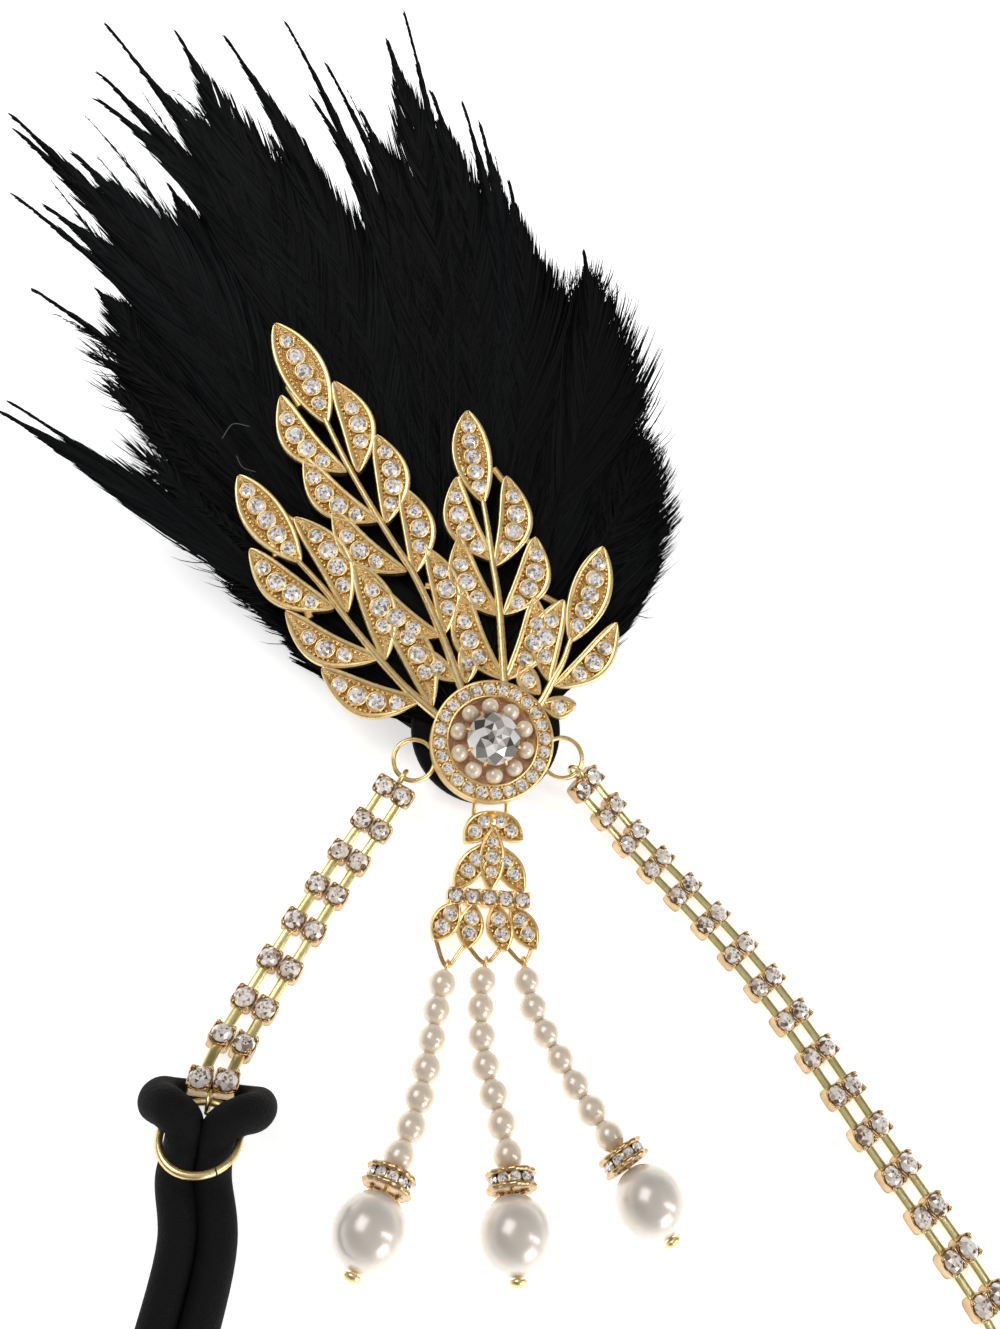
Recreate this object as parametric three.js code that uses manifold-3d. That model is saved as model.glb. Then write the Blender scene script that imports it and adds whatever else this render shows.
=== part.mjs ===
// A flapper feather headband laid flat: a jewelled brooch with four leafy fronds on a bound plume,
// a drop with three strings of pearls, stone chains at both sides and a doubled elastic band
// that closes the loop behind the head. Millimetres, +Z up. The layout is drawn with its origin
// on the surface under the middle of the medallion, and the finished group is then moved so
// that its origin is at the middle of its footprint.
import * as THREE from "three";
import { mergeVertices } from "three/addons/utils/BufferGeometryUtils.js";
import Module from "manifold-3d";

const wasm = await Module();
wasm.setup();

// Clearances
const GAP = 0.3; // between pieces that touch on the real thing
const SOLDER = 0.2; // how deep fused pieces sink into each other

// How the brooch lies
const FACE_HEIGHT = 14; // middle of the medallion's face above the surface
const BROOCH_LEAN = THREE.MathUtils.degToRad(20); // top raised
const BROOCH_ROLL = THREE.MathUtils.degToRad(-6); // right side raised

// Medallion
const MEDALLION_R = 9.5;
const MEDALLION_DEPTH = 4.6;
const MEDALLION_EDGE = 0.35; // width of the outer rim
const HALO_STONE_R = 1.0;
const HALO_STONES = 24;
const HALO_FLOOR = 0.55; // depth of the halo channel below the rim
const INNER_RIM = 0.3;
const PEARL_WELL = 2.4; // depth of the well that holds the pearls
const RIM_PEARL_R = 1.35;
const RIM_PEARLS = 10;
const CENTRE_STONE_R = 4.1;
const CENTRE_STONE_RISE = 1.1; // girdle above the rim
const CENTRE_CROWN = 1.5;
const COLLET_WALL = 0.35;
const STONE_FACETS = 8; // crown facets round a small stone's table

// Leaf spray
const SPRAY_TOP = 4.2; // rim of the leaves below the medallion's face
const LEAF_THICK = 1.6;
const LEAF_RIM = 0.55; // width of the raised rim
const LEAF_RECESS = 0.5;
const STEM_R = 0.6;
const SPRAY_REACH = 74; // tip of the tallest frond above the medallion's middle
const BACK_PLATE_R = 8.9;
const BACK_PLATE = 1;
const TAB_W = 1.3; // small bridges between neighbouring leaves

// Rings that carry the chains at the medallion's sides
const CHAIN_RING_R = 3.25;
const CHAIN_RING_WIRE_R = 0.38;

// Drop ornament
const DROP_LEAN = THREE.MathUtils.degToRad(10.5);
const DROP_TOP = new THREE.Vector3(0, -9, 6.5);
const DROP_LENGTH = 20.6;
const DROP_THICK = 1.6;
const DROP_RIM = 0.4;
const DROP_RECESS = 0.45;
const DROP_STONE_R = 0.92;
const DROP_CROWN = 0.55;
const BAIL_WIRE_R = 0.35;
const BAIL_DROP = new THREE.Vector3(0, -10.2, 3.6); // middle of the bail's cross bar
const BAIL_W = 5;
const EYE_R = 1;
const EYE_WIRE_R = 0.3;
const HANGER_WIRE_R = 0.28;

// Strings of pearls
const BEAD_R = 1.9;
const BEADS = 7;
const BEAD_SPACE = 0.1;
const BEAD_TURNS = [-75, -28, 28, 75]; // where a bead's rings lie, in degrees from its equator
const CORE_R = 0.3;
const STRING_EYE_R = 0.9;
const RONDELLE_R = 3.3;
const RONDELLE_W = 2.4;
const RONDELLE_LIP = 0.6;
const RONDELLE_NECK = 0.35;
const DROP_PEARL_R = 4.6;
const DROP_PEARL_HALF = 4.9;
const TIP_R = 1.1;
const TIP_LENGTH = 0.9;

// Stone chains
const CUP = 3.3;
const CUP_HEIGHT = 2.3;
const CHAIN_STONE_R = 1.5;
const CHAIN_CROWN = 0.55;
const CHAIN_PITCH = 6;
const BAR_W = 1.1;
const BAR_THICK = 0.7;
const BAR_LEVEL = 0.7; // underside of the link bars above the foot of the cups
const CHAIN_EYE_R = 1.2;
const CHAIN_EYE_WIRE_R = 0.32;
const CHAIN_EYE_REACH = 2.5; // from the eye to the middle of the end cups

// Elastic band and its rings
const BAND_R = 2.5;
const RING_R = 4.75;
const RING_WIRE_R = 0.5;
const RING_TILT = THREE.MathUtils.degToRad(-22);

// Plume
const PLUME_LENGTH = 150;
const PLUME_LEAN = THREE.MathUtils.degToRad(17);
const PLUME_ROLL = THREE.MathUtils.degToRad(-6);
const PLUME_ROOT = new THREE.Vector3(0, 2, FACE_HEIGHT - 7.9);
const LOCK_WIDTH = 27;
const LOCK_THICK = 4;
const PAD_R = 12;
const PAD_THICK = 2;
const PAD_SHIFT = 3; // middle of the pad above the medallion's middle
const PATCH_W = 8; // felt patch on the pad's back, clear of the quills, that lies against the hair
const PATCH_H = 4.4;
const PATCH_DROP = 3.6; // middle of the patch below the medallion's middle
const PATCH_THICK = 0.5;
const BINDING_R = 2.6;
const BINDING_LENGTH = 18;

// Roundness
const ROUND = { medallion: 24, bead: 10, pearl: 12, wire: 5, ring: 14, band: 8, lock: 6, leaf: 4 };

// Colours, roughness and metalness of the materials
const FINISH = {
  gold: { color: 0xd8b25a, roughness: 0.3, metalness: 1 },
  rose: { color: 0xb9805a, roughness: 0.3, metalness: 1 },
  stone: { color: 0xe8e4dc, roughness: 0.05, metalness: 0 },
  pearl: { color: 0xe9ddca, roughness: 0.25, metalness: 0 },
  elastic: { color: 0x0d0d0e, roughness: 0.9, metalness: 0 },
  feather: { color: 0x08090a, roughness: 0.6, metalness: 0 },
};

// Fronds, in shares of SPRAY_REACH measured from the medallion's middle: the stem's points
// from foot to top leaf, the top leaf's tip, and the side leaves from the top down.
// Each leaf has its tip, its foot and its width; bow bends it to its left.
const FRONDS = [
  {
    name: "tall",
    stem: [[-0.04, 0.08], [-0.09, 0.245], [-0.145, 0.385], [-0.19, 0.465], [-0.28, 0.64], [-0.33, 0.757]],
    leaves: [
      { tip: [-0.437, 0.995], foot: [-0.325, 0.745], width: 0.112, bow: -0.02 },
      { tip: [-0.427, 0.812], foot: [-0.285, 0.625], width: 0.085, bow: 0.1 },
      { tip: [-0.307, 0.85], foot: [-0.258, 0.625], width: 0.085, bow: -0.08 },
      { tip: [-0.377, 0.66], foot: [-0.217, 0.508], width: 0.085, bow: 0.1 },
      { tip: [-0.215, 0.718], foot: [-0.2, 0.504], width: 0.085, bow: -0.08 },
      { tip: [-0.317, 0.538], foot: [-0.16, 0.39], width: 0.08, bow: 0.1 },
      { tip: [-0.163, 0.592], foot: [-0.142, 0.385], width: 0.08, bow: -0.08 },
      { tip: [-0.24, 0.376], foot: [-0.092, 0.24], width: 0.075, bow: 0.1 },
      { tip: [-0.112, 0.445], foot: [-0.084, 0.246], width: 0.075, bow: -0.08 },
      { tip: [-0.131, 0.216], foot: [-0.06, 0.14], width: 0.05, bow: 0.05 },
      { tip: [-0.042, 0.223], foot: [-0.042, 0.135], width: 0.05, bow: -0.05 },
    ],
  },
  {
    name: "left",
    stem: [[-0.1, 0.06], [-0.17, 0.127], [-0.227, 0.196], [-0.288, 0.278], [-0.335, 0.347], [-0.392, 0.417]],
    leaves: [
      { tip: [-0.519, 0.618], foot: [-0.388, 0.413], width: 0.1, bow: 0.02 },
      { tip: [-0.399, 0.519], foot: [-0.29, 0.3], width: 0.085, bow: -0.08 },
      { tip: [-0.272, 0.415], foot: [-0.213, 0.192], width: 0.085, bow: -0.06 },
      { tip: [-0.21, 0.303], foot: [-0.117, 0.085], width: 0.08, bow: -0.06 },
      { tip: [-0.496, 0.446], foot: [-0.319, 0.308], width: 0.085, bow: 0.08 },
      { tip: [-0.422, 0.304], foot: [-0.225, 0.195], width: 0.08, bow: 0.1 },
      { tip: [-0.349, 0.176], foot: [-0.14, 0.1], width: 0.085, bow: 0.1 },
    ],
  },
  {
    name: "short",
    stem: [[0.04, 0.08], [0.041, 0.25], [0.039, 0.34], [0.032, 0.41], [0.026, 0.492], [0.019, 0.557]],
    leaves: [
      { tip: [-0.005, 0.781], foot: [0.02, 0.552], width: 0.098, bow: 0.02 },
      { tip: [-0.039, 0.615], foot: [0.034, 0.412], width: 0.08, bow: 0.1 },
      { tip: [0.077, 0.618], foot: [0.038, 0.4], width: 0.085, bow: -0.1 },
      { tip: [-0.041, 0.47], foot: [0.04, 0.284], width: 0.08, bow: 0.1 },
      { tip: [0.134, 0.469], foot: [0.05, 0.287], width: 0.085, bow: -0.1 },
      { tip: [-0.035, 0.345], foot: [0.038, 0.14], width: 0.08, bow: 0.1 },
      { tip: [0.123, 0.328], foot: [0.045, 0.14], width: 0.08, bow: -0.1 },
    ],
  },
  {
    name: "right",
    stem: [[0.09, 0.06], [0.119, 0.089], [0.147, 0.135], [0.174, 0.177], [0.196, 0.228]],
    leaves: [
      { tip: [0.288, 0.445], foot: [0.194, 0.222], width: 0.1, bow: -0.02 },
      { tip: [0.186, 0.32], foot: [0.138, 0.134], width: 0.08, bow: 0.08 },
      { tip: [0.304, 0.264], foot: [0.15, 0.122], width: 0.075, bow: -0.08 },
      { tip: [0.082, 0.177], foot: [0.116, 0.105], width: 0.055, bow: 0.05 },
      { tip: [0.196, 0.081], foot: [0.118, 0.084], width: 0.055, bow: -0.05 },
    ],
  },
];

// Bridges between neighbouring leaves, as the two ends in shares of SPRAY_REACH.
const BRIDGES = [
  [[-0.41, 0.84], [-0.385, 0.79]], [[-0.375, 0.7], [-0.345, 0.65]], [[-0.25, 0.73], [-0.215, 0.7]],
  [[-0.45, 0.47], [-0.44, 0.43]], [[-0.3, 0.42], [-0.27, 0.405]], [[-0.02, 0.64], [-0.035, 0.6]],
  [[0.05, 0.64], [0.075, 0.6]], [[0.12, 0.345], [0.18, 0.31]], [[-0.12, 0.36], [-0.03, 0.34]],
];

// Plates of the drop, in shares of DROP_LENGTH: across and down from its top.
const DROP_LEAVES = [
  { tip: [-0.215, -0.19], foot: [0.03, 0.03], width: 0.17, stones: [0.36, 0.74] },
  { tip: [0.225, -0.2], foot: [-0.02, 0.03], width: 0.17, stones: [0.36, 0.74] },
  { tip: [-0.06, -0.56], foot: [0.01, -0.08], width: 0.16, stones: [0.24, 0.5, 0.74] },
  { tip: [-0.325, -0.53], foot: [-0.03, -0.2], width: 0.17, stones: [0.34, 0.66] },
  { tip: [0.19, -0.585], foot: [0.02, -0.22], width: 0.17, stones: [0.34, 0.66] },
  { tip: [-0.5, -0.88], foot: [-0.3, -0.62], width: 0.18, stones: [0.34, 0.66] },
  { tip: [-0.27, -0.955], foot: [-0.19, -0.64], width: 0.18, stones: [0.32, 0.62] },
  { tip: [0.01, -0.995], foot: [-0.04, -0.65], width: 0.18, stones: [0.32, 0.62] },
  { tip: [0.235, -1], foot: [0.09, -0.67], width: 0.18, stones: [0.34, 0.66] },
];
const DROP_BAR = { left: [-0.385, -0.575], right: [0.225, -0.655], width: 0.17, stones: 5 };
const HANGERS = [
  { from: [-0.49, -0.85], low: [-0.42, -1.06], to: [-0.29, -0.94], string: "left" },
  { from: [-0.26, -0.93], low: [-0.14, -1.06], to: [-0.01, -0.96], string: "middle" },
  { from: [0.03, -0.97], low: [0.14, -1.08], to: [0.22, -0.97], string: "right" },
];

// Routes of the strings of pearls, from under the hanger to past the tip of the last pearl: across
// and along from the hanger's low point, and height above the surface.
const STRING_ROUTES = {
  left: [[-1.85, -5.08, 2.2], [-4.05, -12.68, 2.1], [-7.05, -20.48, 2.9], [-10.25, -26.08, 3.8], [-17.35, -39.18, 5.5]],
  middle: [[-1.52, -5.58, 2.2], [-2.02, -13.48, 2.1], [-1.12, -21.08, 2.9], [-0.92, -27.28, 3.8], [-2.32, -42.08, 5.5]],
  right: [[0.22, -6.47, 2.2], [2.92, -13.87, 2.1], [6.12, -21.47, 2.9], [8.42, -26.57, 3.8], [13.72, -40.47, 5.5]],
};

// Routes of the chains at the foot of their cups, from the brooch outwards.
const CHAIN_ROUTES = {
  left: [
    [-12.85, -1.5, 5.05], [-15, -4.4, 3.4], [-18, -8.2, 1.3], [-21.2, -12.2, 0.2], [-24.6, -17, 0],
    [-31.4, -27.1, 0], [-37.2, -36, 0], [-39.9, -41, 2], [-40.9, -44.1, 3.5], [-41.1, -46.4, 3.3],
  ],
  right: [
    [14.02, -2.77, 7.53], [16.6, -5.3, 5.7], [20.4, -8.8, 3], [24.1, -12.6, 0.9], [28.1, -17.4, 0],
    [35, -27.3, 0], [41, -37.4, 0], [46, -48, 0], [50.4, -58.7, 0], [55.4, -70, 0], [60, -81.2, 0],
    [62.8, -92, 0], [64, -101, 0], [64.4, -106.5, 2], [64.5, -110, 3.5], [64.5, -112.4, 3.3],
  ],
};

// Route of the middle of the elastic band's two runs, from the left ring round to the right one.
const BAND_ROUTE = [
  [-42.4, -61], [-44.6, -69.4], [-47.5, -82], [-50, -98], [-51, -115], [-49, -134], [-43.5, -152],
  [-34, -168], [-20, -181], [-3, -188.5], [15, -188], [31, -181], [44.5, -170], [54.5, -156],
  [61, -139],
];
// The elastic's lark's head at a ring: across and along from the ring's middle, height and
// thickness, in shares of BAND_R. Along is positive towards the chain.
const KNOT = [
  { across: 1.04, along: -2.95, height: 1.02, radius: 0.94 },
  { across: 0.98, along: -1.6, height: 1.2, radius: 0.88 },
  { across: 0.8, along: -0.45, height: 2.2, radius: 0.73 },
  { across: 1.05, along: 0.35, height: 3.35, radius: 0.74 },
  { across: 2.1, along: 1.05, height: 3.45, radius: 0.84 },
  { across: 2.85, along: 1.62, height: 2.5, radius: 0.92 },
  { across: 2.72, along: 2.25, height: 1.15, radius: 0.88 },
  { across: 1.7, along: 2.66, height: 0.62, radius: 0.6 },
];
const BIGHT = { along: 2.7, height: 0.56, radius: 0.55 };

// Locks of the plume, as the tip in shares of PLUME_LENGTH from its root, its width as a share
// of LOCK_WIDTH and its bend to the left as a share of its own length.
const UPPER_LOCKS = [
  { tip: [-0.525, 0.77], width: 1, bow: 0.05 },
  { tip: [-0.425, 0.925], width: 1.05, bow: 0.03 },
  { tip: [-0.29, 0.925], width: 1.05, bow: 0.02 },
  { tip: [-0.2, 0.965], width: 0.9, bow: 0.02 },
  { tip: [-0.09, 0.915], width: 0.8, bow: 0 },
  { tip: [-0.05, 1], width: 0.9, bow: 0 },
  { tip: [0.03, 0.86], width: 1, bow: -0.02 },
  { tip: [0.155, 0.68], width: 1, bow: -0.04 },
  { tip: [0.215, 0.52], width: 1, bow: -0.06 },
  { tip: [0.255, 0.32], width: 0.9, bow: -0.08 },
  { tip: [-0.515, 0.58], width: 1.05, bow: 0.06 },
  { tip: [-0.46, 0.4], width: 0.95, bow: 0.08 },
  { tip: [-0.3, 0.22], width: 0.8, bow: 0.05 },
];
// Lower locks fill the wedge under the plume. Lean is their share of PLUME_LEAN, and sag how far
// they sink from the root's height to lying on the surface.
const LOWER_LOCKS = [
  { tip: [-0.4, 0.72], width: 1.3, thick: 2, lean: 0.5, sag: 0.65 },
  { tip: [-0.14, 0.8], width: 1.4, thick: 2, lean: 0.5, sag: 0.65 },
  { tip: [0.08, 0.66], width: 1.2, thick: 2, lean: 0.5, sag: 0.65 },
  { tip: [-0.3, 0.58], width: 1.3, thick: 2.1, lean: 0, sag: 1 },
  { tip: [-0.04, 0.62], width: 1.4, thick: 2.1, lean: 0, sag: 1 },
  { tip: [0.14, 0.36], width: 1, thick: 1.9, lean: 0, sag: 1 },
];
// Half width and half thickness of a lock along its length, as shares of its full ones.
const LOCK_FORM = [
  { at: 0, half: 0.14, thick: 0.42 },
  { at: 0.22, half: 0.36, thick: 0.5 },
  { at: 0.5, half: 0.5, thick: 0.5 },
  { at: 0.86, half: 0.34, thick: 0.3 },
  { at: 1, half: 0.05, thick: 0.08 },
];

// Solids

function solid(geometry, matrix) {
  const bare = geometry.clone();
  bare.deleteAttribute("normal");
  bare.deleteAttribute("uv");
  if (matrix) bare.applyMatrix4(matrix);
  const merged = mergeVertices(bare, 1e-4);
  return new wasm.Manifold(
    new wasm.Mesh({
      numProp: 3,
      vertProperties: merged.attributes.position.array,
      triVerts: new Uint32Array(merged.index.array),
    }),
  );
}

function fuse(solids) {
  return solids.reduce((whole, piece) => whole.add(piece));
}

function geometryOf(body) {
  const { vertProperties, triVerts } = body.getMesh();
  const made = new THREE.BufferGeometry();
  made.setAttribute("position", new THREE.BufferAttribute(new Float32Array(vertProperties), 3));
  made.setIndex(new THREE.BufferAttribute(new Uint32Array(triVerts), 1));
  return made;
}

// A closed skin over rings of points. Each ring runs anticlockwise seen from ahead.
function skin(rings, closed) {
  const sides = rings[0].length;
  const spans = closed ? rings.length : rings.length - 1;
  const index = [];
  for (let i = 0; i < spans; i++) {
    const here = i * sides;
    const ahead = ((i + 1) % rings.length) * sides;
    for (let k = 0; k < sides; k++) {
      const next = (k + 1) % sides;
      index.push(here + k, here + next, ahead + next, here + k, ahead + next, ahead + k);
    }
  }
  const last = (rings.length - 1) * sides;
  for (let k = 1; !closed && k < sides - 1; k++) {
    index.push(0, k + 1, k, last, last + k, last + k + 1);
  }
  const made = new THREE.BufferGeometry().setFromPoints(rings.flat());
  made.setIndex(index);
  return made;
}

// A round tube through stations, each with its middle and its radius; its rings don't twist.
function tube(stations, sides, closed = false) {
  const count = stations.length;
  const middle = (i) => stations[closed ? (i + count) % count : THREE.MathUtils.clamp(i, 0, count - 1)].at;
  const tangents = stations.map((_, i) => middle(i + 1).clone().sub(middle(i - 1)).normalize());
  const carry = (normal, from, to) =>
    normal.clone().applyQuaternion(new THREE.Quaternion().setFromUnitVectors(from, to));
  const sideways = Math.abs(tangents[0].z) < 0.9 ? new THREE.Vector3(0, 0, 1) : new THREE.Vector3(1, 0, 0);
  const normals = [sideways.cross(tangents[0]).normalize()];
  for (let i = 1; i < count; i++) normals.push(carry(normals[i - 1], tangents[i - 1], tangents[i]));
  let twist = 0;
  if (closed) {
    const end = carry(normals[count - 1], tangents[count - 1], tangents[0]);
    twist = Math.atan2(end.clone().cross(normals[0]).dot(tangents[0]), end.dot(normals[0]));
  }
  const rings = stations.map(({ at, radius }, i) => {
    const binormal = tangents[i].clone().cross(normals[i]);
    return Array.from({ length: sides }, (_, k) => {
      const turn = (2 * Math.PI * k) / sides + (twist * i) / count;
      return at
        .clone()
        .addScaledVector(normals[i], radius * Math.cos(turn))
        .addScaledVector(binormal, radius * Math.sin(turn));
    });
  });
  return skin(rings, closed);
}

function wire(points, radius, sides = ROUND.wire) {
  return solid(tube(points.map((at) => ({ at, radius })), sides));
}

function move(at) {
  return new THREE.Matrix4().makeTranslation(at.x, at.y, at.z);
}

// A frame whose X runs along, Z as far up as it can, standing at a point.
function frame(at, along) {
  const left = new THREE.Vector3(0, 0, 1).cross(along).normalize();
  const up = along.clone().cross(left);
  return new THREE.Matrix4().makeBasis(along, left, up).setPosition(at);
}

// A cut stone: eight crown facets round a flat table. Its girdle sinks just below height zero.
function stone(radius, crown) {
  const profile = [
    new THREE.Vector2(0, -SOLDER),
    new THREE.Vector2(radius, -SOLDER / 2),
    new THREE.Vector2(radius * 0.55, crown),
    new THREE.Vector2(0, crown),
  ];
  return new THREE.LatheGeometry(profile, STONE_FACETS).rotateX(Math.PI / 2);
}

function lathe(profile, segments) {
  const points = profile.map(([r, z]) => new THREE.Vector2(r, z));
  return new THREE.LatheGeometry(points, segments).rotateX(Math.PI / 2);
}

// The outline of a leaf from its foot to its tip, bowed to its left.
function leafOutline(foot, tip, width, bow, inset) {
  const axis = tip.clone().sub(foot);
  const length = axis.length();
  const along = axis.divideScalar(length);
  const left = new THREE.Vector2(-along.y, along.x);
  const steps = ROUND.leaf;
  const start = (inset * 1.6) / length;
  const side = (sign) =>
    Array.from({ length: steps + 1 }, (_, i) => {
      const t = start + (1 - 2 * start) * (i / steps);
      const full = (width / 2) * Math.sin(Math.PI * t ** 0.9) ** 0.8 - inset;
      const half = i === 0 || i === steps ? 0 : Math.max(full, SOLDER);
      const drift = bow * length * Math.sin(Math.PI * t);
      return foot
        .clone()
        .addScaledVector(along, t * length)
        .addScaledVector(left, drift + sign * half);
    });
  return [...side(-1), ...side(1).slice(1, -1).reverse()];
}

function plate(outline, bottom, top) {
  const made = new THREE.ExtrudeGeometry(new THREE.Shape(outline), { depth: top - bottom, bevelEnabled: false });
  return solid(made.translate(0, 0, bottom));
}

// A leaf with a raised rim round a sunk floor, its rim at height zero.
function leaf(foot, tip, width, bow, thick, rim, recess) {
  const whole = plate(leafOutline(foot, tip, width, bow, 0), -thick, 0);
  const well = plate(leafOutline(foot, tip, width, bow, rim), -recess, recess);
  return whole.subtract(well);
}

// Brooch pieces, each about the middle of the medallion's face

const haloOuter = MEDALLION_R - MEDALLION_EDGE;
const haloInner = haloOuter - 2 * HALO_STONE_R;
const haloRing = haloOuter - HALO_STONE_R;
const wellR = haloInner - INNER_RIM;
const pearlRing = wellR - RIM_PEARL_R - SOLDER / 2;
const colletR = CENTRE_STONE_R - GAP;

function medallionSetting() {
  const body = lathe(
    [
      [0, -MEDALLION_DEPTH],
      [MEDALLION_R - MEDALLION_EDGE, -MEDALLION_DEPTH],
      [MEDALLION_R, -MEDALLION_DEPTH + MEDALLION_EDGE],
      [MEDALLION_R, -SOLDER],
      [MEDALLION_R - SOLDER, 0],
      [haloOuter, 0],
      [haloOuter, -HALO_FLOOR],
      [haloInner, -HALO_FLOOR],
      [haloInner, 0],
      [wellR, 0],
      [wellR, -PEARL_WELL],
      [colletR * 0.72, -PEARL_WELL],
      [colletR * 0.84, CENTRE_STONE_RISE - 3 * GAP],
      [colletR * 0.84 - COLLET_WALL, CENTRE_STONE_RISE - 3 * GAP],
      [colletR * 0.3, -PEARL_WELL],
      [0, -PEARL_WELL],
    ],
    ROUND.medallion,
  );
  const halo = Array.from({ length: HALO_STONES }, (_, i) => {
    const turn = (2 * Math.PI * i) / HALO_STONES;
    const at = new THREE.Vector3(haloRing * Math.cos(turn), haloRing * Math.sin(turn), -HALO_FLOOR);
    return solid(stone(HALO_STONE_R * 0.96, HALO_FLOOR), move(at));
  });
  return fuse([solid(body), ...halo]);
}

function medallionStone() {
  const r = CENTRE_STONE_R;
  return lathe(
    [
      [0, CENTRE_STONE_RISE - r * 0.62],
      [r * 0.3, CENTRE_STONE_RISE - r * 0.45],
      [r, CENTRE_STONE_RISE],
      [r, CENTRE_STONE_RISE + SOLDER],
      [r * 0.82, CENTRE_STONE_RISE + CENTRE_CROWN * 0.55],
      [r * 0.52, CENTRE_STONE_RISE + CENTRE_CROWN],
      [0, CENTRE_STONE_RISE + CENTRE_CROWN],
    ],
    2 * STONE_FACETS,
  );
}

function onSpray([across, up]) {
  return new THREE.Vector2(across, up).multiplyScalar(SPRAY_REACH);
}

function sprayLeaf({ tip, foot, width, bow }) {
  return leaf(onSpray(foot), onSpray(tip), width * SPRAY_REACH, bow, LEAF_THICK, LEAF_RIM, LEAF_RECESS);
}

function sprayStem(points) {
  const stations = points.map((share, i) => {
    const at = onSpray(share);
    const radius = STEM_R * (1.35 - (0.35 * i) / points.length);
    return { at: new THREE.Vector3(at.x, at.y, -LEAF_THICK / 2), radius };
  });
  return solid(tube(stations, ROUND.wire));
}

function sprayBridge([from, to]) {
  const a = onSpray(from);
  const b = onSpray(to);
  const reach = a.distanceTo(b) + TAB_W;
  const bar = new THREE.BoxGeometry(reach, TAB_W, LEAF_THICK - LEAF_RECESS);
  const middle = a.clone().add(b).divideScalar(2);
  const turn = Math.atan2(b.y - a.y, b.x - a.x);
  const place = new THREE.Matrix4().makeRotationZ(turn).setPosition(middle.x, middle.y, -LEAF_THICK / 2);
  return solid(bar, place);
}

// The rings stand out from the back plate at both sides, level with it.
const RING_PLACES = { left: new THREE.Vector2(-11.85, -1.8), right: new THREE.Vector2(11.75, -2.4) };

function leafSpray() {
  const level = -MEDALLION_DEPTH - GAP - BACK_PLATE / 2;
  const fronds = FRONDS.flatMap(({ stem, leaves }) => [sprayStem(stem), ...leaves.map(sprayLeaf)]);
  const leaves = fuse([...fronds, ...BRIDGES.map(sprayBridge)]).translate([0, 0, -SPRAY_TOP]);
  const pocket = new THREE.CylinderGeometry(MEDALLION_R + GAP, MEDALLION_R + GAP, 2 * SPRAY_TOP, ROUND.medallion);
  pocket.rotateX(Math.PI / 2).translate(0, 0, SPRAY_TOP - MEDALLION_DEPTH - GAP);
  const back = new THREE.CylinderGeometry(BACK_PLATE_R, BACK_PLATE_R, BACK_PLATE, ROUND.medallion / 2);
  back.rotateX(Math.PI / 2).translate(0, 0, level);
  const arms = FRONDS.map(({ stem }) => {
    const foot = onSpray(stem[0]).setLength(BACK_PLATE_R - 2 * BACK_PLATE);
    const knee = onSpray(stem[1]);
    const low = new THREE.Vector3(foot.x, foot.y, level);
    const high = new THREE.Vector3(knee.x, knee.y, -SPRAY_TOP - LEAF_THICK + STEM_R);
    return wire([low, high], BACK_PLATE / 2);
  });
  const rings = Object.values(RING_PLACES).map((at) =>
    solid(
      new THREE.TorusGeometry(CHAIN_RING_R, CHAIN_RING_WIRE_R, ROUND.wire, ROUND.ring),
      move(new THREE.Vector3(at.x, at.y, level)),
    ),
  );
  return fuse([leaves.subtract(solid(pocket)), solid(back), ...arms, ...rings, bailWire(level)]);
}

// The brooch's own frame in the layout.
const broochFrame = new THREE.Matrix4()
  .makeRotationFromEuler(new THREE.Euler(BROOCH_LEAN, BROOCH_ROLL, 0))
  .setPosition(0, 0, FACE_HEIGHT);
const intoBrooch = broochFrame.clone().invert();

// The bail is a bent wire from the back plate down to the drop's eye.
function bailWire(level) {
  const corners = [-1, 1].map((side) => new THREE.Vector3((side * BAIL_W) / 2, 0, 0).add(BAIL_DROP));
  const [low, high] = corners.map((corner) => corner.applyMatrix4(intoBrooch));
  const foot = (side) => new THREE.Vector3((side * BAIL_W) / 2, -BACK_PLATE_R * 0.85, level);
  return wire([foot(-1), low, high, foot(1)], BAIL_WIRE_R);
}

// Drop ornament, with its own frame leaning from the bail down to the surface

const dropFrame = new THREE.Matrix4().makeRotationX(DROP_LEAN).setPosition(DROP_TOP);

function onDrop([across, up]) {
  return new THREE.Vector2(across, up).multiplyScalar(DROP_LENGTH);
}

function dropPoint(share, depth) {
  const at = onDrop(share);
  return new THREE.Vector3(at.x, at.y, -depth);
}

function dropStone(at, level) {
  return solid(stone(DROP_STONE_R, DROP_CROWN), move(new THREE.Vector3(at.x, at.y, level)));
}

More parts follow.
